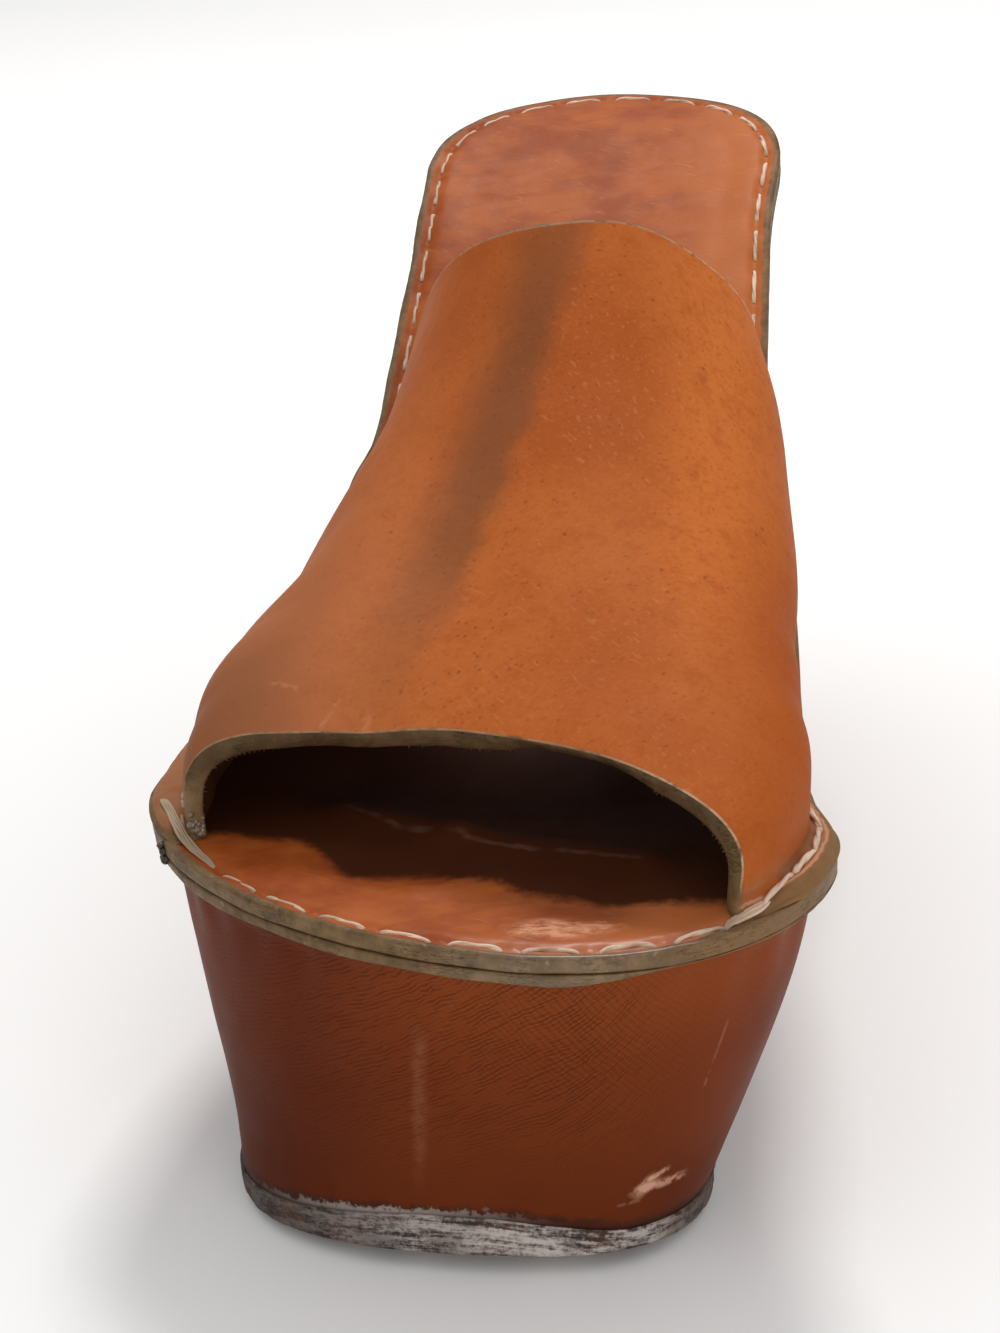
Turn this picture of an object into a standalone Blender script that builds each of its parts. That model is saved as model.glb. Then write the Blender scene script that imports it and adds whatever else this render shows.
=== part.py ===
# Platform wedge sandal for the right foot: an open-toed leather upper with its lower edge turned out,
# stitched down on a leather footbed and on the lip of a leather-covered wedge, over a thin outsole.
# Metres, +Z up. The toe points to -Y and the big-toe side to +X. The origin is on the floor,
# under the middle of the sandal's box.

import math
from collections import namedtuple

import bmesh
import bpy
import numpy as np

MM = 0.001

# Driving sizes
LENGTH = 236.0 * MM            # over the rim from toe tip to heel end, measured level
OUTSOLE_THICKNESS = 4.0 * MM
OUTSOLE_PROUD = 0.5 * MM       # the outsole's edge stands out past the cover
LIP_THICKNESS = 1.5 * MM       # turned-out top edge of the wedge's leather cover
BED_THICKNESS = 2.4 * MM
UPPER_THICKNESS = 2.4 * MM
LIP_OVERHANG = 2.8 * MM        # the lip stands out past the cover's wall
LIP_FILLET = 2.2 * MM          # the cover's curve from its wall to its lip
FLANGE_FILLET = 3.0 * MM       # inside radius where the upper turns out
GAP = 0.3 * MM                 # between pieces that lie on each other
WALL_FULLNESS = 0.10           # share of its slope by which the cover's wall stands out at half height
BASE_TOE_SETBACK = 8.5 * MM    # the wedge's foot lies behind its rim at the toe
BASE_HEEL_SETBACK = 12.0 * MM  # and before it at the heel
TOE_SPRING = 3.0 * MM
TOE_SPRING_REACH = 42.0 * MM

LATERAL, MEDIAL = -1, 1

# Sides of an outline in plan: distance from its toe tip as a share of its length,
# and how far each side lies from the long axis, in millimetres
OutlineRow = namedtuple("OutlineRow", "share lateral medial")
RIM_SIDES = (
    OutlineRow(0.00, 48.5, 47.7),
    OutlineRow(0.13, 48.5, 47.7),
    OutlineRow(0.20, 48.3, 44.0),
    OutlineRow(0.28, 47.3, 42.0),
    OutlineRow(0.38, 43.5, 41.4),
    OutlineRow(0.51, 34.5, 39.5),
    OutlineRow(0.64, 28.5, 35.5),
    OutlineRow(0.78, 26.5, 35.5),
    OutlineRow(0.90, 26.0, 37.5),
    OutlineRow(1.00, 25.5, 38.0),
)
BASE_SIDES = (
    OutlineRow(0.00, 36.5, 30.2),
    OutlineRow(0.12, 36.0, 30.2),
    OutlineRow(0.30, 33.0, 29.8),
    OutlineRow(0.50, 26.5, 28.7),
    OutlineRow(0.75, 21.5, 29.0),
    OutlineRow(1.00, 21.0, 30.0),
)

# Rounding of an outline's end on one side: how far it reaches along the shoe,
# and its fullness (2 is an ellipse, more is squarer)
EndCurve = namedtuple("EndCurve", "reach fullness")

# A closed outline in plan: where it starts behind the rim's toe tip, its length,
# the sideways places of its two tips and its end curves
Outline = namedtuple("Outline", "sides start length toe_x heel_x toe_lateral toe_medial heel")
RIM = Outline(
    sides=RIM_SIDES,
    start=0.0,
    length=LENGTH,
    toe_x=13.5 * MM,
    heel_x=6.0 * MM,
    toe_lateral=EndCurve(reach=52.0 * MM, fullness=1.75),
    toe_medial=EndCurve(reach=34.0 * MM, fullness=2.0),
    heel=EndCurve(reach=34.0 * MM, fullness=2.0),
)
BASE = Outline(
    sides=BASE_SIDES,
    start=BASE_TOE_SETBACK,
    length=LENGTH - BASE_TOE_SETBACK - BASE_HEEL_SETBACK,
    toe_x=6.5 * MM,
    heel_x=4.5 * MM,
    toe_lateral=EndCurve(reach=30.0 * MM, fullness=2.45),
    toe_medial=EndCurve(reach=24.0 * MM, fullness=2.4),
    heel=EndCurve(reach=27.0 * MM, fullness=2.0),
)

# Height of the footbed's top above the floor along the shoe, in millimetres:
# a flat toe, a hollow under the ball, then the climb to the heel seat
BedRow = namedtuple("BedRow", "share height")
BED_PROFILE = (
    BedRow(0.00, 51.2),
    BedRow(0.14, 51.0),
    BedRow(0.29, 50.0),
    BedRow(0.38, 51.8),
    BedRow(0.48, 59.0),
    BedRow(0.60, 73.0),
    BedRow(0.72, 90.0),
    BedRow(0.84, 104.0),
    BedRow(0.93, 110.5),
    BedRow(1.00, 112.5),
)

# Sections of the upper from the toe opening (share 0) to the collar (share 1). Distances behind the toe
# tip of each section's two feet and ridge, width of the stitched ledge outside each wall, the ridge's
# sideways place and height over the bed, how far the flanks swell (or, below 0, hollow), all in
# millimetres, and how full the flanks are (2 is an ellipse)
UpperRow = namedtuple(
    "UpperRow",
    "share lateral_foot ridge medial_foot lateral_ledge medial_ledge ridge_x ridge_height"
    " lateral_swell medial_swell lateral_full medial_full",
)
UPPER_SECTIONS = (
    UpperRow(0.00, 33.5, 32.0, 9.8, 3.0, 2.8, 2.0, 14.5, 0.0, 0.6, 4.4, 3.9),
    UpperRow(0.18, 49.0, 46.0, 32.0, 6.0, 2.8, 4.0, 22.7, 0.8, 1.2, 2.8, 2.6),
    UpperRow(0.38, 68.0, 64.0, 56.0, 5.5, 3.6, 7.0, 32.0, 0.0, 4.0, 2.5, 2.5),
    UpperRow(0.60, 93.0, 82.0, 83.0, 5.5, 4.6, 9.0, 41.5, -2.4, 6.3, 2.15, 2.5),
    UpperRow(0.80, 118.0, 98.0, 110.0, 5.5, 5.5, 9.0, 49.7, -2.6, 6.5, 2.1, 2.4),
    UpperRow(1.00, 144.0, 113.0, 138.0, 5.5, 5.5, 8.5, 56.8, -1.6, 5.0, 2.1, 2.3),
)

# Leathers: colour as linear red, green and blue
Leather = namedtuple("Leather", "name colour roughness")
OUTSOLE_LEATHER = Leather("outsole_leather", (0.055, 0.045, 0.040), 0.85)
COVER_LEATHER = Leather("cover_leather", (0.220, 0.065, 0.022), 0.42)
BED_LEATHER = Leather("bed_leather", (0.360, 0.110, 0.035), 0.38)
UPPER_LEATHER = Leather("upper_leather", (0.470, 0.170, 0.055), 0.48)

# Mesh density
STATIONS = 40
BED_COLUMNS = 6
WALL_RINGS = 5
FILLET_STEPS = 4
UPPER_STATIONS = 26
FLANK_STEPS = 10
FLANK_SAMPLES = 80
SHARP_ANGLE = math.radians(40)
TURN_STEP = 0.001              # for the direction of an outline


def smooth(rows, column, position):
    """A table's column at a position along its first column, on a curve that never overshoots its rows."""
    places = [row[0] for row in rows]
    values = [getattr(row, column) for row in rows]
    steps = [b - a for a, b in zip(places, places[1:])]
    rises = [(b - a) / step for a, b, step in zip(values, values[1:], steps)]
    slopes = [rises[0]]
    for before, after in zip(rises, rises[1:]):
        slopes.append(0.0 if before * after <= 0 else 2 * before * after / (before + after))
    slopes.append(rises[-1])
    place = min(max(position, places[0]), places[-1])
    span = max(i for i in range(len(steps)) if places[i] <= place)
    t = (place - places[span]) / steps[span]
    start, end = values[span], values[span + 1]
    lean_in, lean_out = slopes[span] * steps[span], slopes[span + 1] * steps[span]
    return (
        start * (1 + 2 * t) * (1 - t) ** 2
        + lean_in * t * (1 - t) ** 2
        + end * t * t * (3 - 2 * t)
        + lean_out * t * t * (t - 1)
    )


def rounding(distance, end):
    """Share of the full width at a distance from a round end: a quarter of its curve, then 1."""
    left = max(0.0, 1.0 - distance / end.reach)
    return max(0.0, 1.0 - left ** end.fullness) ** (1 / end.fullness)


def outline_point(outline, side, turn):
    """(x, distance behind the rim's toe tip) on one side of an outline; turn runs 0 to 1, toe to heel."""
    along = outline.length * (1 - math.cos(math.pi * turn)) / 2
    share = along / outline.length
    axis_x = outline.toe_x * (1 - share) + outline.heel_x * share
    column, toe = ("lateral", outline.toe_lateral) if side == LATERAL else ("medial", outline.toe_medial)
    side_x = side * smooth(outline.sides, column, share) * MM
    roundness = rounding(along, toe) * rounding(outline.length - along, outline.heel)
    return np.array((axis_x + (side_x - axis_x) * roundness, outline.start + along))


def inset_point(outline, side, turn, inset):
    """A point set in from the outline, square to it."""
    ahead = outline_point(outline, side, min(1.0, turn + TURN_STEP))
    behind = outline_point(outline, side, max(0.0, turn - TURN_STEP))
    if turn < TURN_STEP:
        ahead[1] = behind[1]
    if turn > 1 - TURN_STEP:
        behind[1] = ahead[1]
    run = (ahead - behind) / np.linalg.norm(ahead - behind)
    inward = np.array((run[1], -run[0])) * -side
    return outline_point(outline, side, turn) + inward * inset


def turn_at(outline, along):
    """The turn of an outline at a distance behind the rim's toe tip."""
    return math.acos(1 - 2 * (along - outline.start) / outline.length) / math.pi


def bed_height(along):
    """Height of the footbed's top above the floor."""
    return smooth(BED_PROFILE, "height", along / LENGTH) * MM


def floor_height(along):
    """Height of the outsole's underside: level, with a little spring at the toe."""
    lift = max(0.0, 1.0 - (along - BASE_TOE_SETBACK) / TOE_SPRING_REACH)
    return TOE_SPRING * lift * lift


def in_frame(x, along, height):
    """A point given by its distance behind the toe tip, in the sandal's frame."""
    return (x, along - LENGTH / 2, height)


def loop_turns():
    """(side, turn) round a whole outline: toe tip, lateral side, heel end, medial side."""
    lateral = [(LATERAL, i / STATIONS) for i in range(STATIONS + 1)]
    medial = [(MEDIAL, i / STATIONS) for i in range(STATIONS - 1, 0, -1)]
    return lateral + medial


def ring(outline, inset, height):
    """Points round an outline, at a height that is a function of the distance behind the toe tip."""
    points = []
    for side, turn in loop_turns():
        x, along = inset_point(outline, side, turn, inset)
        points.append(in_frame(x, along, height(along)))
    return points


def add_wall(mesh, upper_ring, lower_ring):
    count = len(upper_ring)
    for i in range(count):
        k = (i + 1) % count
        mesh.faces.new((upper_ring[i], upper_ring[k], lower_ring[k], lower_ring[i]))


def add_cap(mesh, edge, columns, height):
    """Closes a ring with rows of faces from its lateral to its medial side, at the height function's level."""
    rows = [[edge[0]]]
    for i in range(1, STATIONS):
        left, right = edge[i], edge[-i]
        row = [left]
        for k in range(1, columns):
            x, y, _ = left.co.lerp(right.co, k / columns)
            row.append(mesh.verts.new((x, y, height(y + LENGTH / 2))))
        rows.append(row + [right])
    rows.append([edge[STATIONS]])
    for near, far in zip(rows, rows[1:]):
        for k in range(columns):
            corners = [near[min(k, len(near) - 1)], near[min(k + 1, len(near) - 1)]]
            corners += [far[min(k + 1, len(far) - 1)], far[min(k, len(far) - 1)]]
            mesh.faces.new(list(dict.fromkeys(corners)))


def material_of(leather):
    material = bpy.data.materials.new(leather.name)
    material.use_nodes = True
    shader = material.node_tree.nodes["Principled BSDF"]
    shader.inputs["Base Color"].default_value = (*leather.colour, 1.0)
    shader.inputs["Roughness"].default_value = leather.roughness
    shader.inputs["Metallic"].default_value = 0.0
    return material


def finish_object(name, mesh, leather):
    bmesh.ops.recalc_face_normals(mesh, faces=mesh.faces)
    data = bpy.data.meshes.new(name)
    mesh.to_mesh(data)
    mesh.free()
    data.shade_smooth()
    data.set_sharp_from_angle(angle=SHARP_ANGLE)
    data.materials.append(material_of(leather))
    made = bpy.data.objects.new(name, data)
    bpy.context.scene.collection.objects.link(made)
    return made


def solid_from_rings(name, rings, columns, top_height, bottom_height, leather):
    """A closed body: walls from ring to ring, with a cap on the first and on the last."""
    mesh = bmesh.new()
    made = [[mesh.verts.new(point) for point in points] for points in rings]
    for above, below in zip(made, made[1:]):
        add_wall(mesh, above, below)
    add_cap(mesh, made[0], columns, top_height)
    add_cap(mesh, made[-1], 1, bottom_height)
    return finish_object(name, mesh, leather)


def make_outsole():
    def top(along):
        return floor_height(along) + OUTSOLE_THICKNESS

    rings = [ring(BASE, -OUTSOLE_PROUD, top), ring(BASE, -OUTSOLE_PROUD, floor_height)]
    return solid_from_rings("outsole", rings, 1, top, floor_height, OUTSOLE_LEATHER)


def make_wedge():
    def top(along):
        return bed_height(along) - BED_THICKNESS - GAP

    def lip_underside(along):
        return top(along) - LIP_THICKNESS

    def bottom(along):
        return floor_height(along) + OUTSOLE_THICKNESS + GAP

    rings = [ring(RIM, 0.0, top), ring(RIM, 0.0, lip_underside)]
    for step in range(FILLET_STEPS + 1):
        angle = math.pi / 2 * step / FILLET_STEPS
        inset = LIP_OVERHANG - LIP_FILLET * (1 - math.sin(angle))
        drop = LIP_FILLET * (1 - math.cos(angle))
        rings.append(ring(RIM, inset, lambda along, drop=drop: lip_underside(along) - drop))
    head, foot = rings[-1], ring(BASE, 0.0, bottom)
    for step in range(1, WALL_RINGS):
        down = step / WALL_RINGS
        sideways = down - WALL_FULLNESS * math.sin(math.pi * down)
        share = np.array((sideways, sideways, down))
        rings.append([tuple(np.array(a) * (1 - share) + np.array(b) * share) for a, b in zip(head, foot)])
    rings.append(foot)
    return solid_from_rings("platform_wedge", rings, BED_COLUMNS, top, bottom, COVER_LEATHER)


def make_footbed():
    def underside(along):
        return bed_height(along) - BED_THICKNESS

    mesh = bmesh.new()
    made = [[mesh.verts.new(p) for p in ring(RIM, 0.0, level)] for level in (bed_height, underside)]
    add_wall(mesh, *made)
    add_cap(mesh, made[0], BED_COLUMNS, bed_height)
    add_cap(mesh, made[1], BED_COLUMNS, underside)
    return finish_object("footbed", mesh, BED_LEATHER)


def evenly(points, count):
    """Points spaced evenly along a fine chain of points, both ends kept."""
    chain = np.array(points)
    walked = np.concatenate(([0.0], np.cumsum(np.linalg.norm(np.diff(chain, axis=0), axis=1))))
    stops = np.linspace(0.0, walked[-1], count + 1)
    return [tuple(np.interp(stop, walked, chain[:, axis]) for axis in range(3)) for stop in stops]


def upper_value(column, share):
    return smooth(UPPER_SECTIONS, column, share)


def foot_of(share, side, inset):
    """(x, distance behind the toe tip) under a section's foot, set in from the rim."""
    column = "lateral_foot" if side == LATERAL else "medial_foot"
    return inset_point(RIM, side, turn_at(RIM, upper_value(column, share) * MM), inset)


def wall_inset(share, side):
    """How far a section's wall, on its inside face, lies in from the rim."""
    column = "lateral_ledge" if side == LATERAL else "medial_ledge"
    return upper_value(column, share) * MM + UPPER_THICKNESS


def section_along(share, x):
    """Distance behind the toe tip of a section at x: a parabola through its two feet and its ridge."""
    knots = [foot_of(share, side, wall_inset(share, side)) for side in (LATERAL, MEDIAL)]
    knots.append((upper_value("ridge_x", share) * MM, upper_value("ridge", share) * MM))
    total = 0.0
    for i, (knot_x, along) in enumerate(knots):
        for other_x, _ in knots[:i] + knots[i + 1:]:
            along = along * (x - other_x) / (knot_x - other_x)
        total += along
    return total


def flank(share, side):
    """Points of one side of an upper section, on its inside face: from the flange's edge in over the
    turned-out fillet, up the flank and on to the ridge."""
    name = "lateral" if side == LATERAL else "medial"
    wall = wall_inset(share, side)
    points = []
    for inset in (0.0, (wall - FLANGE_FILLET) / 2):
        x, along = foot_of(share, side, inset)
        points.append((x, along, bed_height(along) + GAP))
    for step in range(FILLET_STEPS):
        angle = math.pi / 2 * step / FILLET_STEPS
        x, along = foot_of(share, side, wall - FLANGE_FILLET * (1 - math.sin(angle)))
        points.append((x, along, bed_height(along) + GAP + FLANGE_FILLET * (1 - math.cos(angle))))
    foot_x, foot_along = foot_of(share, side, wall)
    foot_z = bed_height(foot_along) + GAP + FLANGE_FILLET
    ridge_x = upper_value("ridge_x", share) * MM
    ridge_z = bed_height(section_along(share, ridge_x)) + upper_value("ridge_height", share) * MM
    swell = side * upper_value(name + "_swell", share) * MM
    power = 2 / upper_value(name + "_full", share)
    rise = []
    for step in range(FLANK_SAMPLES + 1):
        angle = math.pi / 2 * step / FLANK_SAMPLES
        inwards = 1 - max(0.0, math.cos(angle)) ** power
        upwards = math.sin(angle) ** power
        x = foot_x + (ridge_x - foot_x) * inwards
        along = section_along(share, x)
        x += swell * math.sin(math.pi * upwards) ** 2
        rise.append((x, along, foot_z + (ridge_z - foot_z) * upwards))
    return points + evenly(rise, FLANK_STEPS)


def upper_section(share):
    """A whole section of the upper's inside face, from its lateral to its medial flange edge."""
    lateral, medial = flank(share, LATERAL), flank(share, MEDIAL)
    return np.array([in_frame(*p) for p in lateral + medial[-2::-1]])


def make_upper():
    inside = np.array([upper_section(i / UPPER_STATIONS) for i in range(UPPER_STATIONS + 1)])
    along = np.gradient(inside, axis=0)
    across = np.gradient(inside, axis=1)
    normal = np.cross(along, across)
    normal /= np.linalg.norm(normal, axis=2, keepdims=True)
    if normal[0, inside.shape[1] // 2, 2] < 0:
        normal = -normal
    outside = inside + normal * UPPER_THICKNESS
    mesh = bmesh.new()
    skins = [[[mesh.verts.new(p) for p in row] for row in skin] for skin in (inside, outside)]
    rows, columns = inside.shape[:2]
    for skin in skins:
        for i in range(rows - 1):
            for k in range(columns - 1):
                mesh.faces.new((skin[i][k], skin[i][k + 1], skin[i + 1][k + 1], skin[i + 1][k]))
    border = [(0, k) for k in range(columns)] + [(i, columns - 1) for i in range(1, rows)]
    border += [(rows - 1, k) for k in range(columns - 2, -1, -1)] + [(i, 0) for i in range(rows - 2, 0, -1)]
    for (i, k), (m, n) in zip(border, border[1:] + border[:1]):
        mesh.faces.new((skins[0][i][k], skins[0][m][n], skins[1][m][n], skins[1][i][k]))
    return finish_object("upper", mesh, UPPER_LEATHER)


def main():
    for old in list(bpy.data.objects):
        bpy.data.objects.remove(old)
    make_outsole()
    make_wedge()
    make_footbed()
    make_upper()


main()
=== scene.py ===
# %% [markdown]
# # A platform wedge sandal in leather
# A plain solid model of the sandal already exists: outsole, covered wedge, footbed and upper. It is the
# frame of this lesson and is never moved or changed. Each step below makes a finer piece from the same
# sizes, lays it where the solid lies, and gives it the finish of a real, worn leather shoe.

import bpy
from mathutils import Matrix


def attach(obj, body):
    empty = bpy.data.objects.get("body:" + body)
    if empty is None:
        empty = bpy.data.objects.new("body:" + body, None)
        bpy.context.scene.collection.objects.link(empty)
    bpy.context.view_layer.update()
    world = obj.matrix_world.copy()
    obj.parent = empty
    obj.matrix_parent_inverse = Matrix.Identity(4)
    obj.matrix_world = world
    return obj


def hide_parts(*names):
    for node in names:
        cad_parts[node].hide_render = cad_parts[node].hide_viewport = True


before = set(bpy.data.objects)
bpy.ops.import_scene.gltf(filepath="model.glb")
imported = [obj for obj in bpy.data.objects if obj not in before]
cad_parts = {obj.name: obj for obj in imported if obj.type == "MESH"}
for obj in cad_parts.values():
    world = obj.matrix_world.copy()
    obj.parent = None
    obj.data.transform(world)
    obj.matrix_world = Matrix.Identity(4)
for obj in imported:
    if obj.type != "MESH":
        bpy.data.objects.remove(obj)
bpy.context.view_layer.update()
print("solid nodes:", sorted(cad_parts))

# %% [markdown]
# ## The shoe's own sizes
# A shoemaker works from a last: a foot-shaped form with a length, a ball width, a heel height and a set
# of sections. Here the last is a few short tables in millimetres. `along` is the distance behind the toe
# tip, and the big-toe side is at positive x. The pieces could be sculpted by hand instead, but tables
# keep every piece on the same last, so that the fine pieces lie where the plain solids do, apart from
# wear.

# %% Sizes and tables
import math
from collections import namedtuple

import bmesh
import bpy
import numpy as np
from mathutils import Matrix, Vector, noise

MM = 0.001
LENGTH = 236.0
OUTSOLE_THICKNESS = 4.0
OUTSOLE_PROUD = 0.3
LIP_THICKNESS = 1.5
BED_THICKNESS = 2.4
UPPER_THICKNESS = 2.4
LIP_OVERHANG = 2.8
LIP_FILLET = 2.2
FLANGE_FILLET = 3.0
GAP = 0.1
WALL_FULLNESS = 0.10
BASE_TOE_SETBACK = 8.5
BASE_HEEL_SETBACK = 12.0
TOE_SPRING = 3.0
TOE_SPRING_REACH = 42.0
LATERAL, MEDIAL = -1, 1

OutlineRow = namedtuple("OutlineRow", "share lateral medial")
RIM_SIDES = (
    OutlineRow(0.00, 48.5, 47.7),
    OutlineRow(0.13, 48.5, 47.7),
    OutlineRow(0.20, 48.3, 44.0),
    OutlineRow(0.28, 47.3, 42.0),
    OutlineRow(0.38, 43.5, 41.4),
    OutlineRow(0.51, 34.5, 39.5),
    OutlineRow(0.64, 28.5, 35.5),
    OutlineRow(0.78, 26.5, 35.5),
    OutlineRow(0.90, 26.0, 37.5),
    OutlineRow(1.00, 25.5, 38.0),
)
BASE_SIDES = (
    OutlineRow(0.00, 36.5, 30.2),
    OutlineRow(0.12, 36.0, 30.2),
    OutlineRow(0.30, 33.0, 29.8),
    OutlineRow(0.50, 26.5, 28.7),
    OutlineRow(0.75, 21.5, 29.0),
    OutlineRow(1.00, 21.0, 30.0),
)
EndCurve = namedtuple("EndCurve", "reach fullness")
Outline = namedtuple("Outline", "sides start length toe_x heel_x toe_lateral toe_medial heel")
RIM = Outline(
    sides=RIM_SIDES,
    start=0.0,
    length=LENGTH,
    toe_x=13.5,
    heel_x=6.0,
    toe_lateral=EndCurve(52.0, 1.75),
    toe_medial=EndCurve(34.0, 2.0),
    heel=EndCurve(34.0, 2.0),
)
BASE = Outline(
    sides=BASE_SIDES,
    start=BASE_TOE_SETBACK,
    length=LENGTH - BASE_TOE_SETBACK - BASE_HEEL_SETBACK,
    toe_x=6.5,
    heel_x=4.5,
    toe_lateral=EndCurve(30.0, 2.45),
    toe_medial=EndCurve(24.0, 2.4),
    heel=EndCurve(27.0, 2.0),
)
BedRow = namedtuple("BedRow", "share height")
BED_PROFILE = (
    BedRow(0.00, 51.2),
    BedRow(0.14, 51.0),
    BedRow(0.29, 50.0),
    BedRow(0.38, 51.8),
    BedRow(0.48, 59.0),
    BedRow(0.60, 73.0),
    BedRow(0.72, 90.0),
    BedRow(0.84, 104.0),
    BedRow(0.93, 110.5),
    BedRow(1.00, 112.5),
)
UpperRow = namedtuple(
    "UpperRow",
    "share lateral_foot ridge medial_foot lateral_ledge medial_ledge ridge_x ridge_height"
    " lateral_swell medial_swell lateral_full medial_full",
)
UPPER_SECTIONS = (
    UpperRow(0.00, 33.5, 32.0, 9.8, 3.0, 2.8, 2.0, 14.5, 0.0, 0.6, 4.4, 3.9),
    UpperRow(0.18, 49.0, 46.0, 32.0, 6.0, 2.8, 4.0, 22.7, 0.8, 1.2, 2.8, 2.6),
    UpperRow(0.38, 68.0, 64.0, 56.0, 5.5, 3.6, 7.0, 32.0, 0.0, 4.0, 2.5, 2.5),
    UpperRow(0.60, 93.0, 82.0, 83.0, 5.5, 4.6, 9.0, 41.5, -2.4, 6.3, 2.15, 2.5),
    UpperRow(0.80, 118.0, 98.0, 110.0, 5.5, 5.5, 9.0, 49.7, -2.6, 6.5, 2.1, 2.4),
    UpperRow(1.00, 144.0, 113.0, 138.0, 5.5, 5.5, 8.5, 56.8, -1.6, 5.0, 2.1, 2.3),
)
print("sandal of", LENGTH, "mm, heel seat at", BED_PROFILE[-1].height, "mm")

# %% [markdown]
# ## From tables to curves
# Each table becomes a smooth curve that never overshoots its rows. The two outlines, the rim and the foot
# of the wedge, are read as points with an inward direction, because leather layers are cut parallel to an
# edge. Curve objects could hold the outlines too, but a formula gives every piece the same points.

# %% Curves of the last
TURN_STEP = 0.001
STATIONS = 300


def smooth(rows, column, position):
    """A table's column at positions along its shares."""
    shares = np.array([row.share for row in rows])
    values = np.array([getattr(row, column) for row in rows])
    steps = np.diff(shares)
    rises = np.diff(values) / steps
    product = rises[:-1] * rises[1:]
    total = np.where(product > 0, rises[:-1] + rises[1:], 1.0)
    inner = np.where(product > 0, 2 * product / total, 0.0)
    slopes = np.concatenate((rises[:1], inner, rises[-1:]))
    share = np.clip(position, shares[0], shares[-1])
    span = np.clip(np.searchsorted(shares, share, side="right") - 1, 0, len(steps) - 1)
    t = (share - shares[span]) / steps[span]
    lean_in = slopes[span] * steps[span]
    lean_out = slopes[span + 1] * steps[span]
    rise = values[span] * (1 + 2 * t) * (1 - t) ** 2 + values[span + 1] * t * t * (3 - 2 * t)
    return rise + lean_in * t * (1 - t) ** 2 + lean_out * t * t * (t - 1)


def rounding(distance, end):
    left = np.maximum(0.0, 1.0 - distance / end.reach)
    return np.maximum(0.0, 1.0 - left ** end.fullness) ** (1 / end.fullness)


def outline_point(outline, side, turn):
    """(x, along) on one side of an outline; turn runs 0 to 1 from toe to heel."""
    along = outline.length * (1 - np.cos(np.pi * turn)) / 2
    share = along / outline.length
    axis_x = outline.toe_x * (1 - share) + outline.heel_x * share
    column, toe = ("lateral", outline.toe_lateral) if side == LATERAL else ("medial", outline.toe_medial)
    side_x = side * smooth(outline.sides, column, share)
    roundness = rounding(along, toe) * rounding(outline.length - along, outline.heel)
    return np.stack((axis_x + (side_x - axis_x) * roundness, outline.start + along), axis=-1)


def inward_of(outline, side, turn):
    """Direction square to an outline, into the shoe."""
    run = outline_point(outline, side, np.minimum(1.0, turn + TURN_STEP))
    run = run - outline_point(outline, side, np.maximum(0.0, turn - TURN_STEP))
    run[..., 1] *= (turn >= TURN_STEP) & (turn <= 1 - TURN_STEP)
    run /= np.linalg.norm(run, axis=-1, keepdims=True)
    return np.stack((run[..., 1], -run[..., 0]), axis=-1) * -side


def whole_loop(outline):
    """Points and inward directions round an outline: toe tip, lateral side, heel end, medial side."""
    there = np.linspace(0.0, 1.0, STATIONS + 1)
    back = there[-2:0:-1]
    points = [outline_point(outline, LATERAL, there), outline_point(outline, MEDIAL, back)]
    inward = [inward_of(outline, LATERAL, there), inward_of(outline, MEDIAL, back)]
    return np.concatenate(points), np.concatenate(inward)


def bed_height(along):
    return smooth(BED_PROFILE, "height", along / LENGTH)


def floor_height(along):
    lift = np.maximum(0.0, 1.0 - (along - BASE_TOE_SETBACK) / TOE_SPRING_REACH)
    return TOE_SPRING * lift * lift


def in_frame(x, along, height):
    return np.stack(np.broadcast_arrays(x, along - LENGTH / 2, height), axis=-1)


def walked(points):
    """Distance walked along a chain of points."""
    return np.concatenate(([0.0], np.cumsum(np.linalg.norm(np.diff(points, axis=0), axis=1))))


RIM_LOOP, RIM_INWARD = whole_loop(RIM)
BASE_LOOP, BASE_INWARD = whole_loop(BASE)
AROUND = walked(np.concatenate((RIM_LOOP, RIM_LOOP[:1])))
PERIMETER = AROUND[-1]
AROUND = AROUND[:-1]
print("rim measures", round(PERIMETER), "mm round, in", len(RIM_LOOP), "points")

# %% [markdown]
# ## The camera
# The photograph looks along the shoe from the front and 26 degrees from above, from a place fitted to the
# rim and the toe opening. The camera stands there, and a longer lens fills the frame. A Track To
# constraint could aim it, but would also level it. The smallest turn that points it at the shoe keeps the
# shoe's lean in the picture.

# %% Camera
CAMERA_PLACE = (51.0, -457.1, 222.7)
CAMERA_AIM = (-6.0, -6.0, 46.0)
LOOKING_DOWN = math.radians(26.0)
LENS = 111.0


def place_camera():
    camera = bpy.data.objects.new("camera", bpy.data.cameras.new("camera"))
    bpy.context.scene.collection.objects.link(camera)
    camera.data.sensor_fit = "HORIZONTAL"
    camera.data.lens = LENS
    place, aim = Vector(CAMERA_PLACE) * MM, Vector(CAMERA_AIM) * MM
    photo_back = Vector((0.0, -math.cos(LOOKING_DOWN), math.sin(LOOKING_DOWN)))
    right = Vector((1.0, 0.0, 0.0))
    axes = Matrix((right, photo_back.cross(right), photo_back)).transposed()
    turn = photo_back.rotation_difference((place - aim).normalized())
    camera.matrix_world = Matrix.Translation(place) @ turn.to_matrix().to_4x4() @ axes.to_4x4()
    bpy.context.scene.camera = camera
    return camera


camera = place_camera()
print("camera at", CAMERA_PLACE, "mm with a lens of", LENS, "mm")

# %% [markdown]
# ## Shader maths in Python
# A finish is a node tree. Drawn by hand it soon becomes a tangle, so one small class wraps a socket and
# gives it Python's operators: `1 - mask` adds a Math node by itself. Colours and vectors have their own
# helpers, because a Math node would turn a colour grey. Every finish works in the shoe's own millimetres.

# %% A socket with operators


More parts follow.
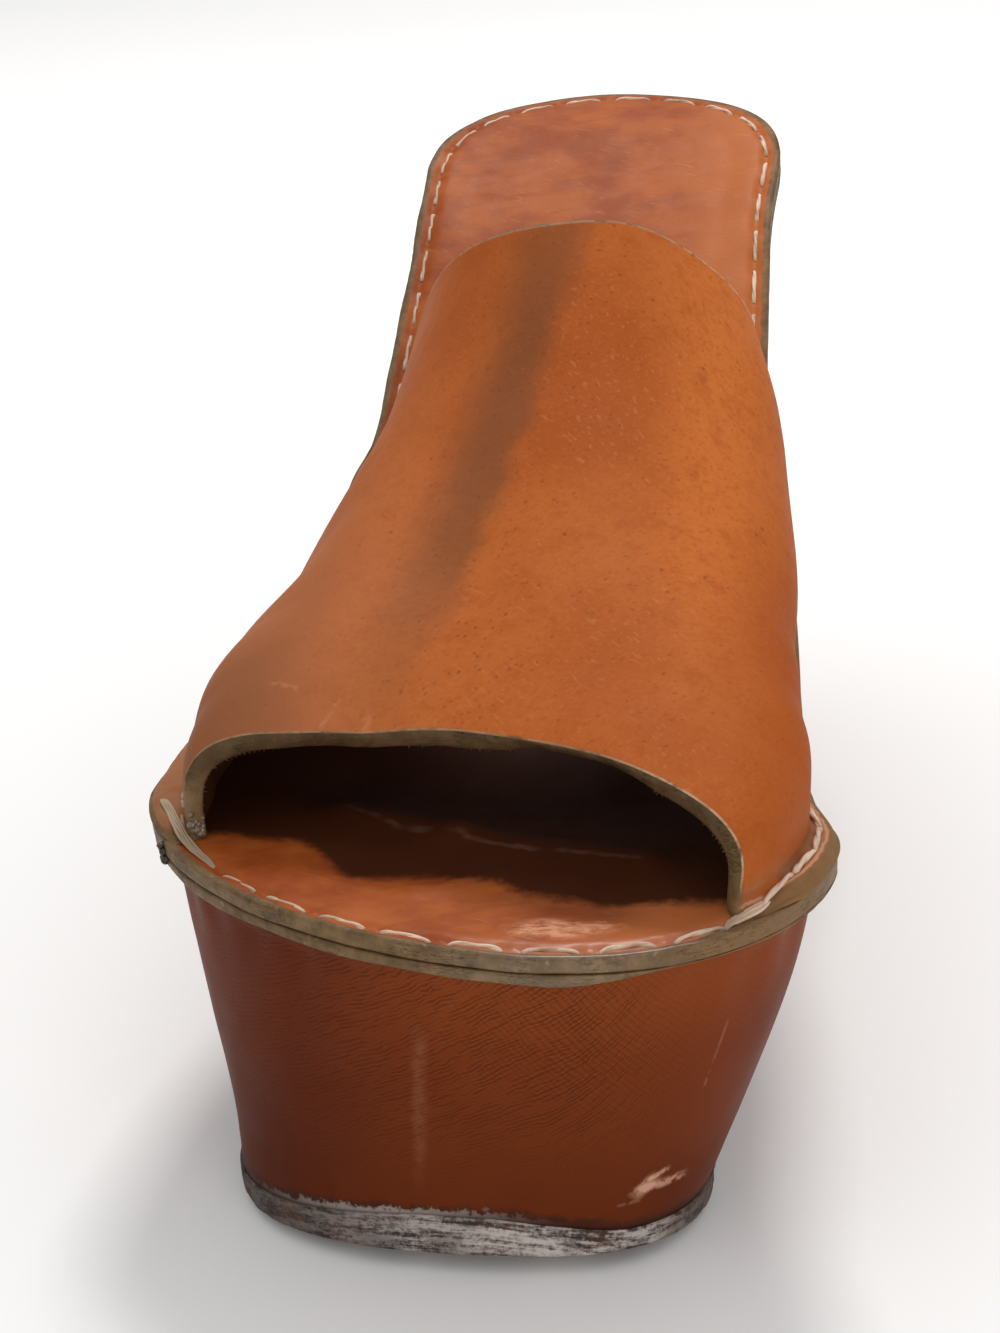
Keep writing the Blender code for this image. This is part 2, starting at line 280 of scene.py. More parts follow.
class Field:
    """A socket of a node tree that operators work on; without a socket, the tree itself."""

    def __init__(self, tree, socket=None):
        self.tree = tree
        self.socket = socket

    def node(self, kind, settings=None, inputs=None, output=0):
        made = self.tree.nodes.new("ShaderNode" + kind)
        for name, value in (settings or {}).items():
            setattr(made, name, value)
        for name, value in (inputs or {}).items():
            self.feed(made.inputs[name], value)
        return Field(self.tree, made.outputs[output])

    def feed(self, socket, value):
        if isinstance(value, Field):
            self.tree.links.new(value.socket, socket)
        else:
            socket.default_value = value

    def maths(self, operation, first, second=0.0):
        return self.node("Math", {"operation": operation}, {0: first, 1: second})

    def __add__(self, other):
        return self.maths("ADD", self, other)

    def __radd__(self, other):
        return self.maths("ADD", other, self)

    def __sub__(self, other):
        return self.maths("SUBTRACT", self, other)

    def __rsub__(self, other):
        return self.maths("SUBTRACT", other, self)

    def __mul__(self, other):
        return self.maths("MULTIPLY", self, other)

    def __rmul__(self, other):
        return self.maths("MULTIPLY", other, self)

    def size(self):
        return self.maths("ABSOLUTE", self)

    def mark(self, name, output="Fac"):
        """A value that the mesh carries at its points."""
        return self.node("Attribute", {"attribute_name": name}, None, output)

    def rise(self, low, high):
        """0 below low, 1 above high, soft between."""
        limits = {"Value": self, "From Min": low, "From Max": high}
        return self.node("MapRange", {"interpolation_type": "SMOOTHSTEP"}, limits)

    def near(self, place, reach):
        """1 at a place, 0 from its reach on."""
        return 1 - (self - place).size().rise(0.0, reach)

    def blend(self, first, second):
        """From the first colour to the second as this value goes from 0 to 1."""
        return self.node("Mix", {"data_type": "RGBA"}, {0: self, 6: first, 7: second}, 2)

    def stretched(self, scale):
        return self.node("VectorMath", {"operation": "MULTIPLY"}, {0: self, 1: scale})

    def shifted(self, amount):
        return self.node("VectorMath", {"operation": "ADD"}, {0: self, 1: amount})

    def turned(self, axis, degrees):
        inputs = {"Vector": self, "Axis": axis, "Angle": math.radians(degrees)}
        return self.node("VectorRotate", {"rotation_type": "AXIS_ANGLE"}, inputs)

    def parts(self):
        separate = self.node("SeparateXYZ", None, {0: self})
        outputs = separate.socket.node.outputs
        return [Field(self.tree, socket) for socket in outputs]

    def cloud(self, grain, detail=2.0, roughness=0.5):
        """Soft noise whose lumps are about a grain of millimetres across, from 0 to 1."""
        inputs = {"Vector": self, "Scale": 1 / grain, "Detail": detail, "Roughness": roughness}
        return self.node("TexNoise", None, inputs)

    def cells(self, grain):
        """Distance from the middles of cells that are about a grain of millimetres across."""
        return self.node("TexVoronoi", None, {"Vector": self, "Scale": 1 / grain})

    def ripple(self, pitch):
        """A wave from 0 to 1 that repeats every pitch."""
        return self.maths("SINE", self * (math.tau / pitch)) * 0.5 + 0.5

    def bump(self, depth):
        """A bump of a depth in millimetres where this height goes from 0 to 1."""
        return self.node("Bump", None, {"Height": self, "Distance": depth * MM, "Strength": 1.0})


def rgb(red, green, blue):
    return (red, green, blue, 1.0)


Stroke = namedtuple("Stroke", "start end width")


def stroked(across, upwards, strokes):
    """1 on any of a few straight strokes in the plane of two coordinates."""
    total = 0.0
    for (x, y), end, width in strokes:
        length = math.dist((x, y), end)
        run_x, run_y = (end[0] - x) / length, (end[1] - y) / length
        run = (across - x) * run_x + (upwards - y) * run_y
        off = (upwards - y) * run_x - (across - x) * run_y
        inside = run.rise(-width, width) * (1 - run.rise(length - width, length + width))
        total = inside * (1 - off.size().rise(0.3 * width, width)) + total
    return total


def start_finish(name):
    """A new material, its tree, and the shoe's coordinates in millimetres."""
    material = bpy.data.materials.new(name)
    material.use_nodes = True
    tree = Field(material.node_tree)
    at = tree.node("TexCoord", None, None, "Object").stretched((1 / MM,) * 3)
    return material, tree, at


def places(at):
    """Sideways place, distance behind the toe tip, and height."""
    x, y, z = at.parts()
    return x, y + LENGTH / 2, z


def end_finish(material, tree, **sockets):
    """Sets the shader's sockets: a word's underscores stand for spaces."""
    shader = material.node_tree.nodes["Principled BSDF"]
    for name, value in sockets.items():
        tree.feed(shader.inputs[name.replace("_", " ").title().replace("Ior", "IOR")], value)
    return material


print("shader maths ready:", Field.__name__)

# %% [markdown]
# ## The upper's leather
# Cognac vegetable-tanned leather shows fine pores, dark specks where hairs grew and pale, hair-like
# scratches, and it is browner on its lateral side. An image texture would bring all this at once, but
# nodes stay sharp at any distance and need no file. The finish is laid on in coats: dye with a painted
# light patch, grain, painted shade with dust and rubs, and edge paint with a pale line that is partly a
# painted highlight. Two values on the mesh say how far a place is from a cut edge, where paint laps
# over: `opening_mm` from toe opening and collar, `rim_mm` from the rim.

# %% Dye and grain of the upper
TAN = rgb(0.465, 0.120, 0.025)
DEEP_TAN = rgb(0.375, 0.083, 0.0145)
LIT_TAN = rgb(0.560, 0.152, 0.030)
PALE_TAN = rgb(0.540, 0.172, 0.046)
SHADED_TAN = rgb(0.320, 0.066, 0.010)
PALE_SCRATCH = rgb(0.620, 0.260, 0.130)
PORE = rgb(0.170, 0.040, 0.010)
UPWARDS = (0.0, 0.0, 1.0)
LIT_ACROSS, LIT_HEIGHTS = (31.0, 14.0), (66.0, 84.0)
CROWDED_ACROSS, CROWDED_ALONG = (-2.0, 14.0), (46.0, 20.0)
HAIR_TURN, PORE_TURN, WRINKLE_TURN = 52.0, -45.0, 30.0


def dye_and_painted_light(at):
    """Cognac in patches of three sizes, with a painted light patch high on the big-toe flank."""
    x, _, z = places(at)
    colour = at.cloud(30.0, 3.0).rise(0.35, 0.68).blend(TAN, DEEP_TAN)
    # painted light: the big-toe flank is lighter high up, where light falls on it
    colour = (x.near(*LIT_ACROSS) * z.rise(*LIT_HEIGHTS)).blend(colour, LIT_TAN)
    colour = (at.cloud(4.5, 4.0, 0.65).rise(0.46, 0.70) * 0.45).blend(colour, DEEP_TAN)
    return (at.cloud(1.8, 3.0, 0.6).rise(0.50, 0.74) * 0.35).blend(colour, SHADED_TAN)


def grained(at, colour, wall):
    """The colour with scratches, pores and specks on the wall, and the height of the grain."""
    x, along, _ = places(at)
    hairs = at.turned(UPWARDS, HAIR_TURN).stretched((0.07, 1.0, 1.0)).cloud(0.6, 1.0)
    scratched = hairs.rise(0.60, 0.74) * at.cloud(15.0).rise(0.42, 0.60) * x.rise(-20.0, 10.0) * wall
    colour = (scratched * 0.24).blend(colour, PALE_SCRATCH)
    leaning = at.turned(UPWARDS, PORE_TURN).stretched((0.7, 1.0, 0.8))
    fine = leaning.cloud(0.55, 2.0)
    colour = (fine.rise(0.52, 0.70) * 0.40).blend(colour, DEEP_TAN)
    colour = ((1 - fine.rise(0.30, 0.44)) * 0.20).blend(colour, PALE_TAN)
    pores = leaning.cells(1.15)
    crowded = x.near(*CROWDED_ACROSS) * along.near(*CROWDED_ALONG)
    pored = (1 - pores.rise(0.06, 0.30)) * (at.cloud(3.2, 3.0, 0.6) + crowded * 0.08).rise(0.42, 0.62)
    colour = (pored * wall * (0.42 + 0.25 * crowded)).blend(colour, PORE)
    specks = (1 - at.cells(3.4).rise(0.05, 0.12)) * at.cloud(9.0, 2.0).rise(0.42, 0.60)
    colour = (specks * wall * 0.6).blend(colour, PORE)
    wrinkles = at.turned(UPWARDS, WRINKLE_TURN).stretched((0.35, 1.0, 0.7)).cloud(1.3, 2.0)
    height = at.cloud(0.45, 3.0, 0.6) * 0.5 + pores.rise(0.04, 0.28) * 0.4
    return colour, height + wrinkles * 0.6 + scratched * 0.2


print("coats of the upper:", dye_and_painted_light.__name__, grained.__name__)

# %% Wear and edge paint of the upper
LATERAL_BROWN = rgb(0.385, 0.153, 0.072)
CORNER_SHADE = rgb(0.165, 0.060, 0.026)
HOLLOW_SHADE = rgb(0.148, 0.060, 0.028)
FLANGE_DUST = rgb(0.310, 0.152, 0.078)
RAW_EDGE_HIGHLIGHT = rgb(0.560, 0.330, 0.200)
OLIVE = rgb(0.115, 0.067, 0.029)
OLIVE_LIGHT = rgb(0.212, 0.130, 0.062)
OLIVE_WARM_LIT = rgb(0.205, 0.115, 0.050)
FLANGE_REACH = (4.0, 7.0)
HOLLOW_X, HOLLOW_ALONG, HOLLOW_SLANT = -2.0, 75.0, 0.27
HOLLOW_FROM, HOLLOW_TO = (28.0, 72.0), (96.0, 138.0)
UPPER_STROKES = (
    Stroke((-28.7, 43.5), (-24.7, 42.1), 0.45),
    Stroke((-21.1, 36.8), (-19.0, 40.3), 0.50),
    Stroke((-15.2, 36.0), (-14.7, 38.2), 1.00),
)


def painted_shade_and_wear(at, colour, flange):
    """Painted shade on flank, lateral corner and vamp hollow; a browner lateral side, dust and rubs."""
    x, along, z = places(at)
    # painted shade: the big-toe flank is darker low down, where it turns from the light
    shaded = x.rise(20.0, 44.0) * (1 - z.rise(62.0, 86.0) * 0.7)
    colour = (shaded * 0.60).blend(colour, SHADED_TAN)
    # browner and duller on the lateral side, less so towards the heel
    lateral = 1 - x.rise(-36.0, 0.0)
    colour = (lateral * (1 - along.rise(50.0, 120.0) * 0.5) * 0.65).blend(colour, LATERAL_BROWN)
    # painted shade: the lateral front corner of the upper is darker
    corner = (1 - x.rise(-34.0, -18.0)) * (1 - along.rise(40.0, 66.0))
    colour = (corner * 0.58).blend(colour, CORNER_SHADE)
    # painted shade in the hollow of the vamp, beside the instep ridge
    off = x - (along - HOLLOW_ALONG) * HOLLOW_SLANT - HOLLOW_X + (at.cloud(8.0, 3.0) - 0.5) * 6.0
    hollow_shade = off.rise(-12.0, -2.0) * (1 - off.rise(0.0, 5.0))
    hollow_shade = hollow_shade * along.rise(*HOLLOW_FROM) * (1 - along.rise(*HOLLOW_TO))
    colour = (hollow_shade * 0.62).blend(colour, HOLLOW_SHADE)
    colour = (flange * at.cloud(5.0, 3.0).rise(0.25, 0.6) * 0.7).blend(colour, FLANGE_DUST)
    frayed = at.cloud(1.5, 3.0, 0.65)
    rubs = stroked(x + (frayed - 0.5) * 1.6, along + (frayed - 0.5) * 1.2, UPPER_STROKES)
    return (rubs * z.rise(60.0, 64.0) * frayed.rise(0.30, 0.60) * 0.28).blend(colour, PALE_SCRATCH)


def edge_paint(at):
    return at.cloud(3.5, 4.0, 0.65).rise(0.32, 0.70).blend(OLIVE, OLIVE_LIGHT)


def warm_lit_patches(at):
    """1 where the paint is warmer and lighter, in patches on the big-toe side: partly painted light."""
    return at.parts()[0].rise(20.0, 36.0) * at.cloud(6.0, 3.0).rise(0.25, 0.60)


def edged(at, colour, flange, opening, rim):
    """Paint lapped over the cut edges, and a pale raw line on rubbed edges that is partly painted
    highlight.
    """
    x, along, _ = places(at)
    # warmer, lighter paint on the big-toe side of the turned-out edge, partly painted light
    paint = (flange * warm_lit_patches(at)).blend(edge_paint(at), OLIVE_WARM_LIT)
    ragged = at.cloud(1.6, 3.0, 0.6) - 0.5
    lap = 1 - (opening + ragged * (0.6 + 1.8 * flange)).rise(0.15, 0.55 + 0.8 * flange)
    colour = (lap * 0.9).blend(colour, paint)
    # a pale raw line on the arris of the opening, partly painted highlight, stronger on the lit big-toe
    # side
    arris = (1 - opening.rise(0.25, 0.50)) * (1 - flange) * at.cloud(2.2, 3.0, 0.6).rise(0.30, 0.55)
    colour = (arris * (0.35 + 0.50 * x.rise(14.0, 30.0))).blend(colour, RAW_EDGE_HIGHLIGHT)
    bare = rim - 0.2 - 1.5 * x.rise(12.0, 24.0) * (1 - along.rise(40.0, 70.0)) + ragged * 0.9
    # a pale raw line on the outer edge of the turned-out edge, big-toe side, partly painted highlight
    colour = (bare.near(0.5, 0.4) * x.rise(0.0, 12.0) * (1 - lap) * 0.7).blend(colour, RAW_EDGE_HIGHLIGHT)
    return ((1 - bare.rise(0.0, 0.4)) * 0.9).blend(colour, paint)


def upper_finish():
    material, tree, at = start_finish("upper_leather")
    opening, rim = tree.mark("opening_mm"), tree.mark("rim_mm")
    flange = 1 - rim.rise(*FLANGE_REACH)
    colour, height = grained(at, dye_and_painted_light(at), 1 - flange)
    colour = edged(at, painted_shade_and_wear(at, colour, flange), flange, opening, rim)
    return end_finish(
        material,
        tree,
        base_color=colour,
        roughness=0.50 + at.cloud(9.0, 3.0) * 0.2,
        specular_ior_level=0.05,
        normal=height.bump(0.08),
    )


UPPER_FINISH = upper_finish()
print("finish:", UPPER_FINISH.name)

# %% [markdown]
# ## Painted edges and the flesh side
# A cut edge of leather is pale and fibrous, so makers sand it and brush on thick paint. Here it is olive
# brown, lumpy, cracked and rubbed, warmer and lighter towards the big toe, partly as painted light, with
# painted shade at the top of the toe opening, and glossy only at the front, where a coat adds the shine.
# One finish for every cut edge lets the layers of the rim read as one painted band. The inside of the
# upper is the flesh side: dull, napped and so dark that it is partly painted shade.

# %% Finishes of the cut edges and the inside
OLIVE_DARK = rgb(0.042, 0.023, 0.010)
OLIVE_RUBBED = rgb(0.380, 0.290, 0.180)
OLIVE_GREEN = rgb(0.120, 0.094, 0.030)
FLESH = rgb(0.046, 0.0135, 0.0042)
FLESH_LIGHT = rgb(0.085, 0.028, 0.010)
GLOSS_ACROSS, GLOSS_ALONG = (12.0, 22.0), (6.0, 20.0)


def edge_finish():
    material, tree, at = start_finish("edge_paint")
    x, along, z = places(at)
    mossy = at.shifted((31.0, 7.0, 3.0)).cloud(9.0).rise(0.55, 0.72)
    colour = (mossy * 0.5).blend(edge_paint(at), OLIVE_GREEN)
    lines = at.stretched((0.35, 0.35, 2.2)).cloud(0.9, 3.0, 0.6)
    cracks = lines.near(0.5, 0.022) * at.cloud(6.0).rise(0.45, 0.6)
    colour = (cracks * 0.3).blend(colour, OLIVE_DARK)
    rubbed = at.shifted((5.0, 50.0, 9.0)).cloud(1.1, 3.0).rise(0.66, 0.76)
    colour = (rubbed * 0.4).blend(colour, OLIVE_RUBBED)
    # warmer, lighter paint on the big-toe side, partly painted light
    colour = (warm_lit_patches(at) * (1 - z.rise(52.0, 55.0))).blend(colour, OLIVE_WARM_LIT)
    # painted shade: the top of the toe opening's edge faces down and is darker
    shaded = z.rise(55.0, 64.0) * (1 - along.rise(43.0, 63.0))
    colour = (shaded * 0.55).blend(colour, OLIVE_DARK)
    height = at.cloud(1.9, 3.0, 0.5) * 0.9 - cracks * 0.4
    return end_finish(
        material,
        tree,
        base_color=colour,
        roughness=0.34 + at.cloud(2.0, 2.0) * 0.25,
        specular_ior_level=0.14,
        coat_weight=x.near(*GLOSS_ACROSS) * (1 - along.rise(*GLOSS_ALONG)) * 0.8,
        coat_roughness=0.24,
        normal=height.bump(0.20),
    )


def flesh_finish():
    material, tree, at = start_finish("flesh_side")
    nap = at.cloud(0.6, 4.0, 0.7)
    # the flesh side's very dark brown is partly painted shade inside the shoe
    colour = at.cloud(12.0, 3.0).rise(0.3, 0.7).blend(FLESH, FLESH_LIGHT)
    colour = (nap.rise(0.55, 0.8) * 0.4).blend(colour, FLESH_LIGHT)
    return end_finish(
        material,
        tree,
        base_color=colour,
        roughness=0.62 + nap * 0.25,
        specular_ior_level=0.03,
        normal=nap.bump(0.12),
    )


EDGE_FINISH = edge_finish()
FLESH_FINISH = flesh_finish()
print("finishes:", EDGE_FINISH.name, FLESH_FINISH.name)

# %% [markdown]
# ## The footbed's leather
# The insole is polished by bare feet: glossy and red-tan at the toe, with a pale scuffed patch near the
# big toe and a pinkish, rubbed front rim. Further in it is darker, partly by wear and partly as painted
# shadow of the upper; the big-toe side is lighter as painted light, and a painted highlight runs along a
# crease. These could be painted on by hand.
# Here they are soft masks placed in the shoe's sizes, and noise frays their borders so that they don't
# look stamped. `edge_mm` on the mesh is the distance from the rim.

# %% Finish of the footbed
BED_TAN = rgb(0.410, 0.100, 0.019)
BED_RED = rgb(0.280, 0.054, 0.010)
BED_STAIN_AND_SHADOW = rgb(0.042, 0.0098, 0.0028)
BED_PALE = rgb(0.680, 0.320, 0.175)
BED_LIT = rgb(0.500, 0.142, 0.034)
BED_PINK = rgb(0.500, 0.205, 0.130)
BED_CREST_HIGHLIGHT = rgb(0.210, 0.130, 0.095)
STAIN_SHADOW_BORDER = 37.5
STAIN_SHADOW_STEPS = ((-40.0, -25.0, 3.5), (-26.0, -15.0, 10.0), (-10.0, 22.0, 8.5))
STAIN_SHADOW_END = (120.0, 165.0)
PATCH_ACROSS, PATCH_ALONG = (13.0, 11.5), (8.6, 4.6)
CREST_HIGHLIGHT_STROKES = (
    Stroke((-20.0, 45.0), (-12.0, 39.0), 0.7),
    Stroke((-12.0, 38.6), (-2.0, 34.0), 1.0),
    Stroke((-2.0, 33.4), (22.0, 27.5), 0.6),
)


def polished_and_lit(at):
    """Red-tan in patches and streaks, and lighter on the big-toe side as painted light."""
    x, _, _ = places(at)
    colour = at.cloud(14.0, 4.0, 0.6).rise(0.36, 0.66).blend(BED_TAN, BED_RED)
    streaks = at.turned(UPWARDS, -20.0).stretched((0.25, 1.2, 1.0)).cloud(2.4, 3.0)
    colour = (streaks.rise(0.50, 0.75) * 0.5).blend(colour, BED_RED)
    # painted light: the big-toe side of the footbed is lighter
    return (x.rise(17.0, 27.0) * 0.7).blend(colour, BED_LIT)


def stain_and_painted_shadow(at, frayed):
    """1 behind a border that comes forwards in steps: painted shadow of the upper, partly darkened by wear.
    """
    x, along, _ = places(at)
    behind = along - STAIN_SHADOW_BORDER + frayed * 4.0 + (at.cloud(1.5, 3.0) - 0.5) * 1.5
    for first, last, step in STAIN_SHADOW_STEPS:
        behind = behind + x.rise(first, last) * step
    return behind.rise(-1.0, 2.6) * (1 - along.rise(*STAIN_SHADOW_END))


def scuff(at, frayed):
    """1 in the pale, rubbed patch near the big toe."""
    x, along, _ = places(at)
    patch = (x + frayed * 12.0).near(*PATCH_ACROSS) * (along + frayed * 6.0).near(*PATCH_ALONG)
    return patch.rise(0.15, 0.75) * at.stretched((0.5, 1.0, 1.0)).cloud(1.6, 4.0, 0.7).rise(0.32, 0.62)


def bed_finish():
    material, tree, at = start_finish("footbed_leather")
    x, along, _ = places(at)
    rim = tree.mark("edge_mm")
    frayed = at.cloud(6.0, 4.0, 0.6) - 0.5
    stained_and_shaded, scuffed = stain_and_painted_shadow(at, frayed), scuff(at, frayed)
    # painted shadow of the upper on the footbed, with some darkening by wear
    colour = (stained_and_shaded * 0.94).blend(polished_and_lit(at), BED_STAIN_AND_SHADOW)
    # painted highlight along the crest of the crease behind the toes
    crest_highlight = stroked(x, along + frayed * 2.5, CREST_HIGHLIGHT_STROKES) * at.cloud(4.0, 2.0).rise(0.30, 0.65)
    colour = (crest_highlight * 0.25).blend(colour, BED_CREST_HIGHLIGHT)
    colour = (scuffed * 0.9).blend(colour, BED_PALE)
    front = (1 - along.rise(6.0, 21.0)) * x.rise(-6.0, 10.0)
    pink = (1 - rim.rise(2.0, 5.0)) * front * at.cloud(4.0, 3.0).rise(0.25, 0.55)
    colour = (pink * 0.75).blend(colour, BED_PINK)
    scratches = at.turned(UPWARDS, 24.0).stretched((0.07, 1.0, 1.0)).cloud(0.5, 1.0)
    colour = (scratches.rise(0.66, 0.78) * (1 - stained_and_shaded) * 0.2).blend(colour, BED_PALE)
    corner = x.rise(31.0, 36.0) * (1 - along.rise(20.0, 28.0))
    lap = 1 - (rim + at.cloud(1.2) * 0.9 - corner * 3.5).rise(1.35, 1.9)
    colour = (lap * 0.9).blend(colour, edge_paint(at))
    wet = front * (1 - rim.rise(2.5, 7.0))
    shine = (1 - stained_and_shaded) * (1 - scuffed * 0.6) * (0.12 + 0.30 * wet) * (1 - along.rise(23.0, 58.0))
    grain = at.cloud(0.5, 3.0, 0.6)
    height = grain * 0.35 + at.cells(0.9).rise(0.0, 0.4) * 0.3 + scuffed * at.cloud(0.8) * 0.9
    return end_finish(
        material,
        tree,
        base_color=colour,
        roughness=0.40 + at.cloud(5.0, 3.0) * 0.2 + stained_and_shaded * 0.2,
        specular_ior_level=0.08,
        coat_weight=shine,
        coat_roughness=0.32,
        normal=height.bump(0.06),
    )


BED_FINISH = bed_finish()
print("finish:", BED_FINISH.name)

# %% [markdown]
# ## The wedge cover's leather
# The cover is stretched wet over the wedge, and drawing it in leaves a fine, line-like grain that runs
# across the front and rises to the big-toe side. Lines could be modelled, but so fine they are cheaper as
# a bump. The mesh carries `grain_mm`, a place on a drum as large as the rim with the depth under the lip
# as its height, so that grain can be stretched along the wall with no seam, and `foot_mm`, the height
# above the outsole. A pale rub, a scratch near the foot and a darker band above the outsole are placed by
# hand.

# %% Finish of the wedge cover
COVER_RED = rgb(0.135, 0.0215, 0.0030)
COVER_DEEP = rgb(0.050, 0.0075, 0.0013)
COVER_LIGHT = rgb(0.180, 0.034, 0.0058)
COVER_TOP_LIGHT = rgb(0.240, 0.052, 0.0105)
COVER_CREST_AND_HIGHLIGHT = rgb(0.270, 0.074, 0.022)
SOLE_DUST = rgb(0.560, 0.500, 0.470)
COVER_RUB = rgb(0.270, 0.095, 0.046)
COVER_SCRATCH = rgb(0.560, 0.300, 0.200)
COVER_FOOT_DARK = rgb(0.030, 0.014, 0.009)
GRAIN_PITCH, CROSSING_PITCH, CROSSING_TURN = 0.74, 0.85, -50.0
RUB_X, RUB_LEAN, RUB_WIDTH, RUB_TOP, RUB_FOOT = -5.2, 0.07, 1.5, 40.0, 10.0
COVER_STROKES = (
    Stroke((21.3, 11.6), (23.6, 13.8), 1.35),
    Stroke((23.1, 13.8), (25.5, 14.8), 0.50),
    Stroke((22.2, 12.3), (27.2, 12.5), 0.95),
)
HAIR_STROKES = (
    Stroke((33.7, 36.3), (30.4, 26.9), 0.24),
    Stroke((18.8, 10.2), (21.6, 10.4), 0.40),
)


def drawn_grain(at, drum, front):
    """Grooves, crests and crossing lines of the drawn leather, each from 0 to 1; crests partly painted
    highlight.
    """
    x, _, z = places(at)
    waver = (at.cloud(10.0, 2.0) - 0.5) * 2.6 + (at.cloud(1.8, 2.0) - 0.5) * 1.1
    broken = drum.stretched((0.35, 0.35, 1.0)).cloud(1.0, 2.0).rise(0.40, 0.62)
    lines = (drum.parts()[2] + waver).ripple(GRAIN_PITCH)
    across = at.turned((0.0, 1.0, 0.0), CROSSING_TURN).parts()[2] + waver * 0.7
    crossings = across.ripple(CROSSING_PITCH).rise(0.2, 1.0) * x.rise(-10.0, 16.0) * z.rise(18.0, 36.0)
    patchy = at.cloud(15.0, 2.0).rise(0.25, 0.55)
    strength = z.rise(6.0, 30.0) * (0.3 + 0.7 * front) * (1 - x.rise(14.0, 34.0) * 0.8)
    strength = strength * (0.6 + 0.4 * patchy) * (0.45 + 0.55 * x.rise(-34.0, -18.0))
    grooves = lines.rise(0.2, 1.0) * (0.20 + 0.80 * broken)
    crests_and_highlights = (1 - lines.rise(0.0, 0.6)) * broken * (0.35 + 0.65 * x.rise(-16.0, 10.0) * z.rise(22.0, 36.0))
    return grooves * strength, crests_and_highlights * strength, crossings * strength


def knocked(at, colour, foot, front):
    """The colour with a long rub, scratches, and a darker band and dust above the outsole."""
    x, _, z = places(at)
    ragged = at.cloud(3.0, 4.0, 0.7)
    frayed = at.cloud(1.3, 3.0, 0.7)
    rub_x = x + (RUB_TOP - z) * RUB_LEAN + (ragged - 0.5) * 1.4
    rub = rub_x.near(RUB_X, RUB_WIDTH) * z.rise(RUB_FOOT, 24.0) * (1 - z.rise(34.0, RUB_TOP))
    colour = (rub * at.cloud(1.0, 3.0).rise(0.2, 0.6) * front * 0.45).blend(colour, COVER_RUB)
    scratch = stroked(x + (frayed - 0.5) * 1.2, z + (frayed - 0.5) * 1.6, COVER_STROKES) * front
    colour = (scratch * frayed.rise(0.30, 0.55) * 0.8).blend(colour, COVER_SCRATCH)
    hairs = stroked(x, z, HAIR_STROKES) * front * frayed.rise(0.35, 0.60)
    colour = (hairs * 0.2).blend(colour, COVER_SCRATCH)
    # darker in a band just above the outsole
    darker_foot = 1 - (foot - (ragged - 0.3) * 4.0).rise(0.0, 1.6)
    colour = (darker_foot * 0.75).blend(colour, COVER_FOOT_DARK)
    dusty = (1 - (foot - (frayed - 0.4) * 4.0).rise(0.2, 0.9)) * x.near(-12.0, 26.0)
    return (dusty * front * 0.45).blend(colour, SOLE_DUST)


def cover_finish():
    material, tree, at = start_finish("cover_leather")
    x, along, z = places(at)
    front = 1 - along.rise(6.0, 58.0)
    grooves, crests_and_highlights, crossings = drawn_grain(at, tree.mark("grain_mm", "Vector"), front)
    colour = at.cloud(30.0, 3.0).rise(0.3, 0.7).blend(COVER_RED, COVER_LIGHT)
    # painted light: the top of the cover's front is lighter, most towards the right
    colour = (z.rise(32.0, 45.0) * x.rise(-24.0, 4.0) * front * 0.8).blend(colour, COVER_TOP_LIGHT)
    # painted shade: the cover's front is darker low down and on the lateral side
    lower_left_shade = (1 - z.rise(6.0, 42.0)) * 0.40 + (1 - x.rise(-38.0, -4.0)) * 0.50
    colour = (lower_left_shade * front).blend(colour, COVER_DEEP)
    # lighter crests of the grain, partly painted highlight, strongest high on the right
    colour = (crests_and_highlights * 0.24).blend(colour, COVER_CREST_AND_HIGHLIGHT)
    # darker grooves and crossing lines of the grain, partly painted shade in them
    colour = (grooves * 0.34).blend(colour, COVER_DEEP)
    colour = (crossings * 0.25).blend(colour, COVER_DEEP)
    colour = knocked(at, colour, tree.mark("foot_mm"), front)
    height = at.cells(0.8).rise(0.0, 0.4) * 0.2 - grooves - crossings * 0.5
    return end_finish(
        material,
        tree,
        base_color=colour,
        roughness=0.42 + at.cloud(8.0, 3.0) * 0.2,
        specular_ior_level=0.07,
        normal=height.bump(0.10),
    )


COVER_FINISH = cover_finish()
print("finish:", COVER_FINISH.name)

# %% [markdown]
# ## Outsole, thread, glue and lumpy paint
# The outsole's edge is bare, dark leather, ground ragged by the street and grey with dust that lies in
# streaks along it, most of it in the middle of the toe. The thread is waxed linen, cream at first and
# soiled in its twist. Glue shows as small, dark, shiny beads, and paint that ran has dried in darker
# lumps. Each could be one flat colour, but noise in two colours keeps even small pieces from looking like
# plastic.

# %% Finishes of outsole, thread, glue and paint
SOLE_DARK = rgb(0.036, 0.027, 0.022)
SOLE_BROWN = rgb(0.070, 0.036, 0.023)
THREAD_CREAM = rgb(0.720, 0.545, 0.410)
THREAD_SOILED = rgb(0.430, 0.265, 0.165)
THREAD_LATERAL_DARK = rgb(0.340, 0.240, 0.145)
GLUE_DARK = rgb(0.070, 0.042, 0.024)
GLUE_LIGHT = rgb(0.220, 0.160, 0.110)
PAINT_DARK = rgb(0.020, 0.012, 0.008)
PAINT_LIGHT = rgb(0.075, 0.052, 0.032)
DUST_FROM, DUST_TO = (-30.0, 6.0), (20.0, 29.0)


